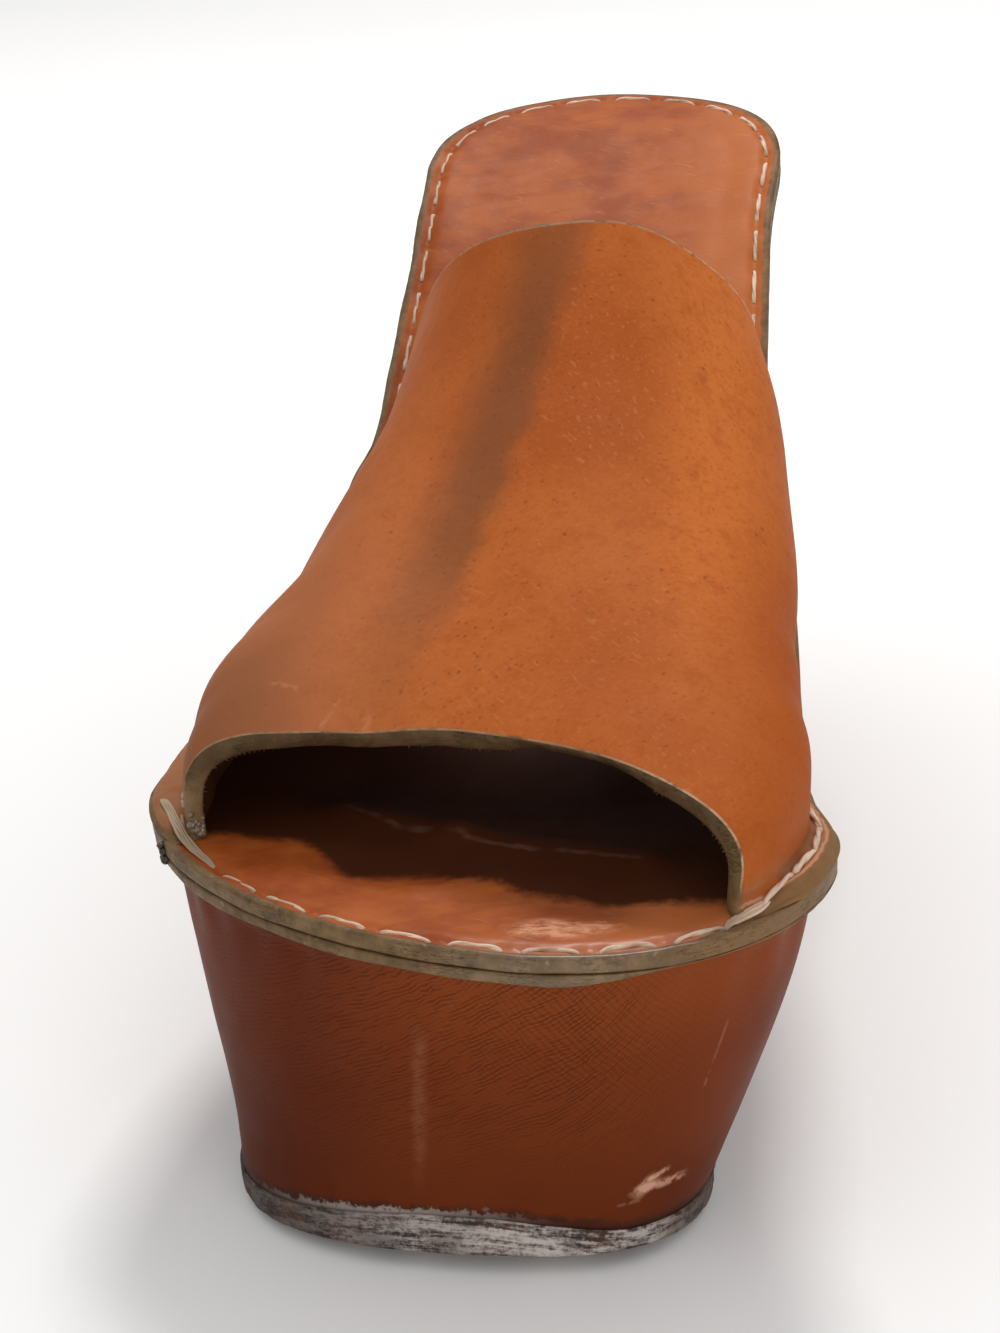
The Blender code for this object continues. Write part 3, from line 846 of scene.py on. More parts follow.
def outsole_finish():
    material, tree, at = start_finish("outsole_leather")
    x, _, _ = places(at)
    drum = tree.mark("grain_mm", "Vector")
    streaks = drum.stretched((0.16, 0.16, 1.0)).cloud(1.0, 4.0, 0.7)
    crumbs = at.cloud(0.8, 5.0, 0.75)
    colour = at.cloud(7.0, 3.0).rise(0.35, 0.65).blend(SOLE_DARK, SOLE_BROWN)
    worn = x.rise(*DUST_FROM) * (1 - x.rise(*DUST_TO))
    worn = worn * (0.45 + 0.55 * drum.cloud(7.0, 2.0).rise(0.34, 0.56))
    dust = (streaks * 0.6 + crumbs * 0.4).rise(0.40, 0.58) * (0.16 + 0.84 * worn)
    colour = (dust * 0.95).blend(colour, SOLE_DUST)
    height = streaks * 0.6 + crumbs * 0.6
    return end_finish(
        material,
        tree,
        base_color=colour,
        roughness=0.80 + dust * 0.15,
        specular_ior_level=0.2,
        normal=height.bump(0.35),
    )


def thread_finish():
    material, tree, at = start_finish("waxed_thread")
    fibre = at.cloud(0.35, 3.0, 0.6)
    colour = at.cloud(5.0, 3.0).rise(0.42, 0.72).blend(THREAD_CREAM, THREAD_SOILED)
    colour = (fibre.rise(0.55, 0.8) * 0.35).blend(colour, THREAD_SOILED)
    # darker and browner on the lateral side
    colour = ((1 - at.parts()[0].rise(-40.0, -4.0)) * 0.85).blend(colour, THREAD_LATERAL_DARK)
    return end_finish(
        material, tree, base_color=colour, roughness=0.45 + fibre * 0.2, normal=fibre.bump(0.05)
    )


def glue_finish():
    material, tree, at = start_finish("dried_glue")
    colour = at.cloud(0.8, 2.0).blend(GLUE_DARK, GLUE_LIGHT)
    return end_finish(
        material, tree, base_color=colour, roughness=0.16 + at.cloud(0.5) * 0.1, coat_weight=0.5
    )


def paint_finish():
    material, tree, at = start_finish("lumpy_paint")
    colour = at.cloud(0.9, 3.0).rise(0.35, 0.65).blend(PAINT_DARK, PAINT_LIGHT)
    roughness = 0.22 + at.cloud(0.6) * 0.2
    return end_finish(
        material, tree, base_color=colour, roughness=roughness, normal=at.cloud(0.4).bump(0.1)
    )


OUTSOLE_FINISH = outsole_finish()
THREAD_FINISH = thread_finish()
GLUE_FINISH = glue_finish()
PAINT_FINISH = paint_finish()
print("finishes:", OUTSOLE_FINISH.name, THREAD_FINISH.name, GLUE_FINISH.name, PAINT_FINISH.name)

# %% [markdown]
# ## From rings to a closed form
# The sole pieces are stacks of rings round an outline, closed above and below by rows of faces that run
# from side to side. Blender's bevels and modifiers could round plain solids, but rings let each edge have
# its own wobble and each row its own finish. Noise in space, not along the ring, keeps the front free of
# a seam.

# %% Rings, caps and pieces
CORNER_STEPS = 4


def noise_at(points, grain, seed=0.0):
    """Smooth noise from -1 to 1 at points in millimetres."""
    shift = Vector((seed, 2 * seed, 3 * seed))
    return np.array([noise.noise(Vector(point) / grain + shift) for point in points])


def ring(loop, inward, inset, height):
    """A loop set in by millimetres, at a height that is a function of `along`."""
    x, along = (loop + inward * np.reshape(inset, (-1, 1))).T
    return in_frame(x, along, height(along))


def rounded_edge(thickness, radius):
    """(inset, drop) pairs over the edge of a layer, round at both corners."""
    quarter = np.linspace(0.0, math.pi / 2, CORNER_STEPS + 1)
    top = [(radius * (1 - math.sin(a)), radius * (1 - math.cos(a))) for a in quarter]
    return top + [(inset, thickness - drop) for inset, drop in reversed(top)]


def cap_faces(start, count, columns, points, height):
    """Rows of faces across a ring, and the new points inside it."""
    half = count // 2
    share = np.linspace(0.0, 1.0, columns + 1)[1:-1, None]
    rows, inside = [[start] * (columns + 1)], []
    for i in range(1, half):
        left, right = points[start + i], points[start + count - i]
        between = left * (1 - share) + right * share
        first = len(points) + len(inside)
        inside.extend(between)
        rows.append([start + i, *range(first, first + columns - 1), start + count - i])
    rows.append([start + half] * (columns + 1))
    inside = np.array(inside).reshape(-1, 3)
    inside[:, 2] = height(inside[:, 0], inside[:, 1] + LENGTH / 2)
    faces = []
    for near, far in zip(rows, rows[1:]):
        for k in range(columns):
            faces.append(list(dict.fromkeys((near[k], near[k + 1], far[k + 1], far[k]))))
    return faces, inside


def closed_form(rings, top_columns, top_height, bottom_columns, bottom_height):
    """Points, faces and each face's ring number; the caps have -1 and -2."""
    count = len(rings[0])
    points = np.concatenate(rings)
    faces, bands = [], []
    i = np.arange(count)
    k = (i + 1) % count
    for level in range(len(rings) - 1):
        above, below = level * count, (level + 1) * count
        faces += np.stack((above + i, above + k, below + k, below + i), axis=1).tolist()
        bands += [level] * count
    caps = ((0, top_columns, top_height, -1), (len(points) - count, bottom_columns, bottom_height, -2))
    for start, columns, height, band in caps:
        cap, inside = cap_faces(start, count, columns, points, height)
        points = np.concatenate((points, inside))
        faces += cap
        bands += [band] * len(cap)
    return points, faces, bands


def make_piece(name, points, faces, finishes, slots=None, marks=None):
    """A smooth mesh piece from millimetres, with point values that its finishes read."""
    data = bpy.data.meshes.new(name)
    data.from_pydata((np.asarray(points) * MM).tolist(), [], faces)
    for finish in finishes:
        data.materials.append(finish)
    if slots is not None:
        data.polygons.foreach_set("material_index", np.array(slots, dtype=np.int32))
    for mark, values in (marks or {}).items():
        values = np.asarray(values, dtype=np.float32)
        kind, field = ("FLOAT_VECTOR", "vector") if values.ndim == 2 else ("FLOAT", "value")
        data.attributes.new(mark, kind, "POINT").data.foreach_set(field, values.ravel())
    mesh = bmesh.new()
    mesh.from_mesh(data)
    bmesh.ops.recalc_face_normals(mesh, faces=mesh.faces)
    mesh.to_mesh(data)
    mesh.free()
    data.shade_smooth()
    made = bpy.data.objects.new(name, data)
    bpy.context.scene.collection.objects.link(made)
    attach(made, "root")
    print(name, "has", sum(len(face) - 2 for face in faces), "triangles")
    return made


def on_drum(around, depth):
    """Places on a drum as large round as the rim."""
    radius = PERIMETER / math.tau
    angle = around / radius
    return np.stack((radius * np.cos(angle), radius * np.sin(angle), depth), axis=-1)


print("helpers ready:", closed_form.__name__, make_piece.__name__)

# %% [markdown]
# ## The outsole
# A thin leather sole, flat under ball and heel and sprung a little at the toe. Its edge stands a little
# out past the cover, its top is lifted left of the middle of the toe, and it is ground ragged, so noise
# of two sizes bites into the rings of its side. A bump could show the raggedness too, but the outline
# would stay smooth.

# %% Outsole
SOLE_RAGGED = ((3.5, 0.28), (1.1, 0.16))
SOLE_WORN_UNDER = 0.3
SOLE_SIDE_RINGS = 10
SOLE_TOP_INSET, SOLE_UNDER_INSET = 3.0, 6.0
SOLE_LIFTS = (
    (-36.0, -0.4), (-20.0, 1.0), (-8.0, 1.9), (2.0, 1.7), (12.0, 0.4), (20.0, -1.0), (30.0, -1.2)
)
SOLE_LIFT_REACH = 25.0


def sole_top(x, along):
    """Top of the outsole's edge, which stands highest left of the middle of the toe."""
    front = np.clip(1 - (along - BASE_TOE_SETBACK) / SOLE_LIFT_REACH, 0.0, 1.0)
    return floor_height(along) + OUTSOLE_THICKNESS + front * np.interp(x, *np.transpose(SOLE_LIFTS))


def make_outsole():
    edge_height = sole_top(*BASE_LOOP.T) - floor_height(BASE_LOOP[:, 1])
    sideways = np.abs(BASE_INWARD[:, 0])
    worn_under = SOLE_WORN_UNDER * (0.4 + 0.6 * sideways)
    profile = [(SOLE_TOP_INSET, 0.0)]
    for angle in np.linspace(0.0, math.pi / 2, SOLE_SIDE_RINGS):
        inset = worn_under * (1 - math.cos(angle)) - OUTSOLE_PROUD * math.cos(angle)
        profile.append((inset, math.sin(angle)))
    profile.append((SOLE_UNDER_INSET, 1.0))
    rings, drums = [], []
    for inset, fallen in profile:
        points = ring(BASE_LOOP, BASE_INWARD, inset, floor_height)
        points[:, 2] += edge_height * (1 - fallen)
        if 0.0 < fallen < 1.0:
            bite = sum(depth * noise_at(points, grain, 5.0) for grain, depth in SOLE_RAGGED)
            points[:, :2] += BASE_INWARD * np.maximum(-0.1, bite)[:, None]
        rings.append(points)
        drums.append(on_drum(AROUND, edge_height * fallen))
    points, faces, _ = closed_form(rings, 2, sole_top, 2, lambda x, along: floor_height(along))
    marks = np.zeros((len(points), 3))
    marks[: len(rings) * len(AROUND)] = np.concatenate(drums)
    made = make_piece("worn_outsole", points, faces, [OUTSOLE_FINISH], None, {"grain_mm": marks})
    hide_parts("outsole")
    return made


outsole = make_outsole()

# %% [markdown]
# ## Where the thread runs
# Stitches come before the leather they pull on, because each hole draws the surface down a little. One
# row runs on the footbed round toe and heel, where no upper lies. Stitches could be placed one by one,
# but a row follows from a path and a stitch length: a stitch is a pair of holes.

# %% Stitch rows on the footbed
Stitching = namedtuple("Stitching", "length space")
BED_STITCHING = Stitching(6.6, 2.6)
BED_ROW_INSET = 2.5


def along_path(path, distances):
    """Points at distances walked along a path."""
    reached = walked(path)
    return np.stack([np.interp(distances, reached, values) for values in path.T], axis=-1)


def stitch_holes(path, stitching):
    """(start, end) of each stitch along a path, spread evenly."""
    total = walked(path)[-1]
    count = round(total / sum(stitching))
    pitch = total / count
    starts = pitch * np.arange(count) + stitching.space / 2
    return along_path(path, starts), along_path(path, starts + pitch - stitching.space)


def rim_stretch(inset, from_point, to_point, through_toe):
    """Part of the rim's loop, set in, between the places nearest to two points."""
    loop = RIM_LOOP + RIM_INWARD * inset
    a, b = (int(np.argmin(np.linalg.norm(loop - np.array(p), axis=1))) for p in (from_point, to_point))
    if through_toe:
        chosen = np.concatenate((np.arange(a, -1, -1), np.arange(len(loop) - 1, b - 1, -1)))
    else:
        chosen = np.arange(a, b + 1)
    return loop[chosen]


def rim_point(side, along, inset):
    turn = np.arccos(1 - 2 * along / LENGTH) / np.pi
    return outline_point(RIM, side, turn) + inward_of(RIM, side, turn) * inset


def trimmed(path, first, last):
    """A path without its first and last millimetres."""
    return along_path(path, np.linspace(first, walked(path)[-1] - last, len(path)))


LATERAL_TAIL, MEDIAL_TAIL = 8.0, 4.0
TOE_ROW_ENDS = rim_point(LATERAL, 31.0, 0.0), rim_point(MEDIAL, 11.5, 0.0)
HEEL_ROW_ENDS = rim_point(LATERAL, 147.0, 0.0), rim_point(MEDIAL, 141.0, 0.0)
TOE_ROW = rim_stretch(BED_ROW_INSET, *TOE_ROW_ENDS, True)
HEEL_ROW = rim_stretch(BED_ROW_INSET, *HEEL_ROW_ENDS, False)
BED_ROWS = (trimmed(TOE_ROW, LATERAL_TAIL, MEDIAL_TAIL), HEEL_ROW)
BED_STITCHES = [stitch_holes(row, BED_STITCHING) for row in BED_ROWS]
BED_HOLES = np.concatenate([end for pair in BED_STITCHES for end in pair])
print("footbed stitches:", len(BED_HOLES) // 2)

# %% [markdown]
# ## Creases placed one by one
# Worn leather keeps the foot's print. Each fold is a soft trough or ridge along a straight run given in
# the shoe's sizes: where it starts and ends, how wide it is and how deep (a ridge is above 0). Cloth
# simulation would give folds too, but not these folds.

# %% Folds of the footbed and the upper
Fold = namedtuple("Fold", "x along to_x to_along width depth")
BED_FOLDS = (
    Fold(-20.0, 46.0, -3.0, 36.0, 3.6, 1.3),
    Fold(-3.0, 36.0, 22.0, 29.0, 3.6, 1.2),
    Fold(-18.0, 62.0, 18.0, 50.0, 10.0, -1.9),
    Fold(-16.0, 27.0, -6.0, 24.0, 5.0, -0.9),
    Fold(4.0, 20.0, 18.0, 17.0, 6.0, -0.8),
    Fold(-6.0, 20.0, 2.0, 23.0, 3.0, 0.7),
    Fold(-2.0, 200.0, 10.0, 200.0, 20.0, -1.6),
)
UPPER_FOLDS = (
    Fold(2.0, 92.0, -6.6, 62.0, 8.0, -1.2),
    Fold(-6.6, 62.0, -12.3, 42.0, 8.0, -0.7),
    Fold(-20.0, 58.0, -30.0, 44.0, 8.0, 0.7),
    Fold(-30.0, 65.0, -29.0, 80.0, 7.5, -1.8),
    Fold(-36.0, 56.0, -34.0, 60.0, 5.0, 0.5),
    Fold(-41.0, 44.0, -40.0, 49.0, 5.0, -0.5),
    Fold(10.0, 80.0, 10.0, 56.0, 9.0, 0.4),
    Fold(43.0, 24.0, 43.0, 32.0, 6.0, -1.0),
    Fold(42.0, 42.0, 41.0, 56.0, 7.0, 0.9),
    Fold(-24.0, 36.0, -17.0, 35.0, 7.0, -1.1),
    Fold(0.0, 32.5, 18.0, 26.0, 9.0, 1.1),
)


def fold_relief(folds, x, along):
    """Height in millimetres that the folds add at a place on the shoe."""
    relief = np.zeros(np.broadcast(x, along).shape)
    for fold in folds:
        run = np.array((fold.to_x - fold.x, fold.to_along - fold.along))
        share = ((x - fold.x) * run[0] + (along - fold.along) * run[1]) / (run @ run)
        share = np.clip(share, 0.0, 1.0)
        away = (x - fold.x - run[0] * share) ** 2 + (along - fold.along - run[1] * share) ** 2
        relief += fold.depth * np.exp(-away / fold.width ** 2)
    return relief


print("folds placed:", len(BED_FOLDS), "on the footbed,", len(UPPER_FOLDS), "on the upper")

# %% [markdown]
# ## The footbed
# A leather insole that runs out to the rim. Its top has the foot's print, a stitch channel near the edge
# and a dimple at every hole. A displacement map could do the same, but needs a dense mesh everywhere, so
# fine rings near the rim carry these and rows of faces fill the middle. Its cut edge is painted. On the
# big-toe side the paint fills the groove between the layers, so there the edge is hardly rounded.

# %% Footbed
BED_RINGS = np.linspace(11.0, 1.0, 24)
CHANNEL_DEPTH, CHANNEL_WIDTH = 0.35, 0.9
DIMPLE_DEPTH, DIMPLE_WIDTH = 0.55, 0.95
PRINT_FROM, PRINT_FADE = 3.5, 6.0
BED_COLUMNS = 48
BED_EDGE_RADIUS, BED_EDGE_ROUGH = 0.6, 0.10
EDGE_WOBBLE = 0.34
UNDER_INSET = 4.0
GROOVE_FROM, GROOVE_FADE, GROOVE_FILLED = 14.0, 16.0, 0.9


def soft(t):
    """A soft step from 0 to 1."""
    t = np.clip(t, 0.0, 1.0)
    return t * t * (3 - 2 * t)


def bed_top(x, along, inset=np.inf):
    """Height of the worn footbed's top, at millimetres in from the rim."""
    relief = fold_relief(BED_FOLDS, x, along) * soft((inset - PRINT_FROM) / PRINT_FADE)
    relief = relief - CHANNEL_DEPTH * np.exp(-(((inset - BED_ROW_INSET) / CHANNEL_WIDTH) ** 2))
    return bed_height(along) + relief


def dimples(x, along):
    """Height that the stitch holes take away."""
    away = (x[:, None] - BED_HOLES[None, :, 0]) ** 2 + (along[:, None] - BED_HOLES[None, :, 1]) ** 2
    return -DIMPLE_DEPTH * np.exp(-away.min(axis=1) / DIMPLE_WIDTH ** 2)


GROOVE = 1 - GROOVE_FILLED * soft((RIM_LOOP[:, 0] - GROOVE_FROM) / GROOVE_FADE)
RIM_PLACES = in_frame(*RIM_LOOP.T, 0.0)


def make_footbed():
    wobble = EDGE_WOBBLE * GROOVE * noise_at(RIM_PLACES, 11.0, 2.0)
    rings, edges = [], []
    for inset in BED_RINGS:
        points = ring(RIM_LOOP, RIM_INWARD, inset, bed_height)
        x, along = points[:, 0], points[:, 1] + LENGTH / 2
        points[:, 2] = bed_top(x, along, inset) + dimples(x, along)
        rings.append(points)
        edges.append(inset)
    painted_from = len(rings)
    for inset, drop in rounded_edge(BED_THICKNESS, BED_EDGE_RADIUS):
        rough = BED_EDGE_ROUGH * noise_at(rings[0], 2.2, drop) if 0 < drop < BED_THICKNESS else 0.0
        cut = inset * GROOVE + wobble + rough
        rings.append(ring(RIM_LOOP, RIM_INWARD, cut, lambda along: bed_height(along) - drop))
        edges.append(inset)
    rings.append(ring(RIM_LOOP, RIM_INWARD, UNDER_INSET, lambda along: bed_height(along) - BED_THICKNESS))
    edges.append(0.0)
    points, faces, bands = closed_form(
        rings, BED_COLUMNS, bed_top, 2, lambda x, along: bed_height(along) - BED_THICKNESS
    )
    rim = np.full(len(points), BED_RINGS[0])
    rim[: len(rings) * len(AROUND)] = np.repeat(edges, len(AROUND))
    slots = [1 if band >= painted_from else 0 for band in bands]
    made = make_piece("footbed_leather", points, faces, [BED_FINISH, EDGE_FINISH], slots, {"edge_mm": rim})
    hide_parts("footbed")
    return made


footbed = make_footbed()

# %% [markdown]
# ## The wedge and its cover
# The cover's top edge is turned out to a lip under the footbed, and its wall falls from there to the
# outsole. The thread under the lip puckers the leather, so the wall has a shallow scallop for each stitch
# that dies out downwards, and soft unevenness that a hand-drawn cover keeps. Cloth pulled over a block
# would pucker too, but not stitch by stitch. The lip thins towards the big toe, and its cut edge is
# painted with the rest.

# %% Wedge cover
LIP_STITCHING = Stitching(8.6, 1.4)
LIP_STITCHES = round(PERIMETER / sum(LIP_STITCHING))
LIP_EDGE_RADIUS, LIP_EDGE_ROUGH = 0.4, 0.08
LIP_FILLET_RINGS = 8
LIP_THINNED, LIP_UNEVEN = 0.85, 0.2
THIN_FROM, THIN_FADE = 12.0, 18.0
THIN_TO, THIN_TO_FADE = 50.0, 50.0
WALL_RINGS, WALL_SETTLE_RINGS = 58, 6
WALL_UNEVEN = ((22.0, 0.35), (8.0, 0.12))
PUCKER_DEPTH, PUCKER_REACH = 0.40, 5.0
LATERAL_FULLNESS, FULL_FROM, FULL_FADE = 0.8, -14.0, 16.0
GRAIN_SLANT, GRAIN_TURN = 72.0, 46.0


def lip_share():
    """Share of the lip's thickness round the rim: thinned towards the big toe, and uneven."""
    x, along = RIM_LOOP.T
    thinned = LIP_THINNED * soft((x - THIN_FROM) / THIN_FADE) * (1 - soft((along - THIN_TO) / THIN_TO_FADE))
    return 1 - thinned + LIP_UNEVEN * noise_at(RIM_PLACES, 14.0, 12.0)


LIP_SHARE = lip_share()


def lip_top(along):
    return bed_height(along) - BED_THICKNESS - GAP


def fillet_ring(angle):
    inset = LIP_OVERHANG - LIP_FILLET * (1 - math.sin(angle))
    drop = LIP_FILLET * (1 - math.cos(angle)) + LIP_THICKNESS * LIP_SHARE
    return ring(RIM_LOOP, RIM_INWARD, inset, lambda along: lip_top(along) - drop)


def wall_ring(step, head, foot):
    """A ring of the wall, between the lip's fillet and the outsole."""
    down = step / WALL_RINGS
    arch = math.sin(math.pi * down)
    sideways = down - WALL_FULLNESS * arch
    share = np.array((sideways, sideways, down))
    points = head * (1 - share) + foot * share
    fallen = head[:, 2] - points[:, 2]
    uneven = sum(depth * noise_at(points, grain, 4.0) for grain, depth in WALL_UNEVEN)
    full = LATERAL_FULLNESS * arch ** 2 * soft((FULL_FROM - points[:, 0]) / FULL_FADE)
    turn = np.cos(math.tau * LIP_STITCHES * AROUND / PERIMETER)
    pucker = PUCKER_DEPTH * (0.5 + 0.5 * turn) * np.exp(-((fallen / PUCKER_REACH) ** 2))
    settle = min(1.0, (WALL_RINGS - step) / WALL_SETTLE_RINGS)
    points[:, :2] += RIM_INWARD * ((uneven - full + pucker) * settle)[:, None]
    return points


def make_cover():
    wobble = EDGE_WOBBLE * GROOVE * noise_at(RIM_PLACES, 10.0, 8.0)
    rings = [ring(RIM_LOOP, RIM_INWARD, UNDER_INSET, lip_top)]
    for inset, drop in rounded_edge(LIP_THICKNESS, LIP_EDGE_RADIUS):
        rough = LIP_EDGE_ROUGH * noise_at(rings[0], 2.0, drop) if 0 < drop < LIP_THICKNESS else 0.0
        cut = inset * GROOVE if drop < LIP_THICKNESS / 2 else inset
        level = drop * LIP_SHARE
        rings.append(ring(RIM_LOOP, RIM_INWARD, cut + wobble + rough, lambda along: lip_top(along) - level))
    painted_to = len(rings) - 1
    rings += [fillet_ring(angle) for angle in np.linspace(0.0, math.pi / 2, LIP_FILLET_RINGS)]
    head, foot = rings[-1], in_frame(*BASE_LOOP.T, sole_top(*BASE_LOOP.T))
    rings += [wall_ring(step, head, foot) for step in range(1, WALL_RINGS + 1)]
    points, faces, bands = closed_form(rings, 2, lambda x, along: lip_top(along), 2, sole_top)
    marks = {"grain_mm": np.zeros((len(points), 3)), "foot_mm": np.zeros(len(points))}
    slant = GRAIN_SLANT * np.sin(math.tau * (AROUND + GRAIN_TURN) / PERIMETER)
    drum = [on_drum(AROUND, head[:, 2] - level[:, 2] - slant) for level in rings]
    on_rings = len(rings) * len(AROUND)
    marks["grain_mm"][:on_rings] = np.concatenate(drum)
    marks["foot_mm"][:on_rings] = np.concatenate([level[:, 2] - foot[:, 2] for level in rings])
    slots = [1 if 0 <= band <= painted_to else 0 for band in bands]
    made = make_piece("wedge_cover", points, faces, [COVER_FINISH, EDGE_FINISH], slots, marks)
    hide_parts("platform_wedge")
    return made


cover = make_cover()

# %% [markdown]
# ## The upper
# One thick wall of leather, bent over the last. Each section starts at the turned-out edge, goes over a
# tight fold, up the flank and over the ridge. The outside lies one thickness of leather away along the
# normals, and the folds move both faces. The inside then gets a tighter fold of its own and a front edge
# that slants, because a hand-cut end is nowhere quite square. A solidify modifier would give an even
# wall, with no pared ends. A strip with a round swell closes the cut edges.

# %% Sections of the upper
UPPER_ROWS = 150
FLANGE_STEPS, FILLET_STEPS, FLANK_STEPS = 8, 7, 74
FLANK_SAMPLES = 240
PARED_END, PARED_ROWS, SUNK_END = 0.25, 10, 0.25
LATERAL_TAPER, MEDIAL_TAPER, TAPER_SHARE = 0.8, 1.6, 0.07
FOLD_RADIUS = 0.8
ROLLED_TO, ROLLED_COLUMNS = 0.40, 4
EDGE_SLANTS = (
    (-40.0, 0.0), (-34.0, 0.6), (-20.0, 0.5), (-8.0, 0.8), (0.0, 0.9),
    (5.0, 0.2), (9.0, -1.1), (19.0, -1.1), (25.0, 0.0),
)
SLANT_ROWS, SLANT_BASE_ROW = 8, 3


def upper_value(column, share):
    return smooth(UPPER_SECTIONS, column, share)


def foot_of(share, side, inset):
    name = "lateral_foot" if side == LATERAL else "medial_foot"
    return rim_point(side, upper_value(name, share), inset)


def wall_inset(share, side):
    name = "lateral_ledge" if side == LATERAL else "medial_ledge"
    return upper_value(name, share) + UPPER_THICKNESS


def section_along(share, x):
    """Where a section lies along the shoe: a parabola through its two feet and its ridge."""
    knots = [tuple(foot_of(share, side, wall_inset(share, side))) for side in (LATERAL, MEDIAL)]
    knots.append((upper_value("ridge_x", share), upper_value("ridge", share)))
    total = 0.0
    for i, (knot_x, along) in enumerate(knots):
        for other_x, _ in knots[:i] + knots[i + 1:]:
            along = along * (x - other_x) / (knot_x - other_x)
        total = total + along
    return total


def flank(share, side, radius):
    """Inside face of one side: turned-out edge, fold, flank, ridge."""
    name, taper = ("lateral", LATERAL_TAPER) if side == LATERAL else ("medial", MEDIAL_TAPER)
    wall = wall_inset(share, side)
    at_end = 1 - soft(min(share, 1 - share) / TAPER_SHARE)
    flat = np.linspace(taper * at_end, wall - radius, FLANGE_STEPS + 1)[:-1]
    angles = np.linspace(0.0, math.pi / 2, FILLET_STEPS + 1)[:-1]
    insets = np.concatenate((flat, wall - radius * (1 - np.sin(angles))))
    lifts = np.concatenate((flat * 0, radius * (1 - np.cos(angles))))
    x, along = np.array([foot_of(share, side, inset) for inset in insets]).T
    lifts = lifts + GAP - SUNK_END * at_end * (1 - lifts / radius)
    edge = np.stack((x, along, bed_height(along) + lifts), axis=-1)
    foot_x, foot_along = foot_of(share, side, wall)
    foot_z = bed_height(foot_along) + GAP + radius
    ridge_x = upper_value("ridge_x", share)
    ridge_z = bed_height(section_along(share, ridge_x)) + upper_value("ridge_height", share)
    power = 2 / upper_value(name + "_full", share)
    angle = np.linspace(0.0, math.pi / 2, FLANK_SAMPLES + 1)
    upwards = np.sin(angle) ** power
    x = foot_x + (ridge_x - foot_x) * (1 - np.maximum(0.0, np.cos(angle)) ** power)
    along = section_along(share, x)
    x = x + side * upper_value(name + "_swell", share) * np.sin(math.pi * upwards) ** 2
    rise = np.stack((x, along, foot_z + (ridge_z - foot_z) * upwards), axis=-1)
    return np.concatenate((edge, along_path(rise, np.linspace(0.0, walked(rise)[-1], FLANK_STEPS + 1))))


def inside_face(radius):
    rows = []
    for share in np.linspace(0.0, 1.0, UPPER_ROWS + 1):
        lateral, medial = (flank(share, side, radius) for side in (LATERAL, MEDIAL))
        rows.append(in_frame(*np.concatenate((lateral, medial[-2::-1])).T))
    return np.array(rows)


def normals_of(grid):
    normal = np.cross(np.gradient(grid, axis=0), np.gradient(grid, axis=1))
    normal /= np.linalg.norm(normal, axis=2, keepdims=True)
    return normal if normal[0, grid.shape[1] // 2, 2] > 0 else -normal


def columns_from_side(columns):
    column = np.arange(columns)
    return np.minimum(column, columns - 1 - column)


def turned_out(columns):
    """1 in the columns of the turned-out edge, 0 on the wall above the fold."""
    return 1 - soft((columns_from_side(columns) - FLANGE_STEPS) / FILLET_STEPS)


def thickness_of(rows, columns):
    """Leather thickness at each grid place: the turned-out edge is rolled down and pared at its ends."""
    from_side = columns_from_side(columns)
    rolled = np.sqrt(1 - np.clip(1 - from_side / ROLLED_COLUMNS, 0.0, 1.0) ** 2)
    row = np.arange(rows)[:, None]
    from_end = soft(np.minimum(row, rows - 1 - row) / PARED_ROWS)
    pared = PARED_END + (UPPER_THICKNESS - PARED_END) * from_end
    pared = pared * (ROLLED_TO + (1 - ROLLED_TO) * rolled)
    return UPPER_THICKNESS + (pared - UPPER_THICKNESS) * turned_out(columns)


def slanted(grid):
    """A face whose front edge is drawn forwards or back, so that the cut end of the leather slants."""
    forward = grid[0] - grid[SLANT_BASE_ROW]
    forward /= np.linalg.norm(forward, axis=1, keepdims=True)
    reach = np.interp(grid[0, :, 0], *np.transpose(EDGE_SLANTS))
    fade = np.clip(1 - np.arange(len(grid)) / SLANT_ROWS, 0.0, 1.0)
    return grid + fade[:, None, None] * forward * reach[:, None]


CORE = inside_face(FLANGE_FILLET)
RELIEF = fold_relief(UPPER_FOLDS, CORE[..., 0], CORE[..., 1] + LENGTH / 2)
RELIEF = RELIEF * (1 - turned_out(CORE.shape[1]))
LIFTED = normals_of(CORE) * RELIEF[..., None]
NORMAL = normals_of(CORE + LIFTED)
OUTSIDE = CORE + LIFTED + NORMAL * thickness_of(*CORE.shape[:2])[..., None]
INSIDE = slanted(inside_face(FOLD_RADIUS) + LIFTED)
print("upper grid:", INSIDE.shape[0], "sections of", INSIDE.shape[1], "points")

# %% Upper
EDGE_STEPS = (0.05, 0.18, 0.38, 0.62, 0.82, 0.95)
EDGE_SWELL = 0.38
EDGE_UNEVEN = ((5.0, 0.22, 6.0), (1.6, 0.10, 3.0))
END_LAP = 3.0
FLESH_SLOT, WALL_SLOT, PAINT_SLOT = 1, 0, 2


def grid_faces(numbers):
    a, b = numbers[:-1, :-1].ravel(), numbers[:-1, 1:].ravel()
    c, d = numbers[1:, 1:].ravel(), numbers[1:, :-1].ravel()
    return np.stack((a, b, c, d), axis=1).tolist()


def border_of(rows, columns):
    """Grid places round the edge, each with its outward (row, column) step."""
    last, end = rows - 1, columns - 1
    border = [(0, k, -1, 0) for k in range(columns)]
    border += [(i, end, 0, 1) for i in range(1, rows)]
    border += [(last, k, 1, 0) for k in range(columns - 2, -1, -1)]
    border += [(i, 0, 0, -1) for i in range(last - 1, 0, -1)]
    return border


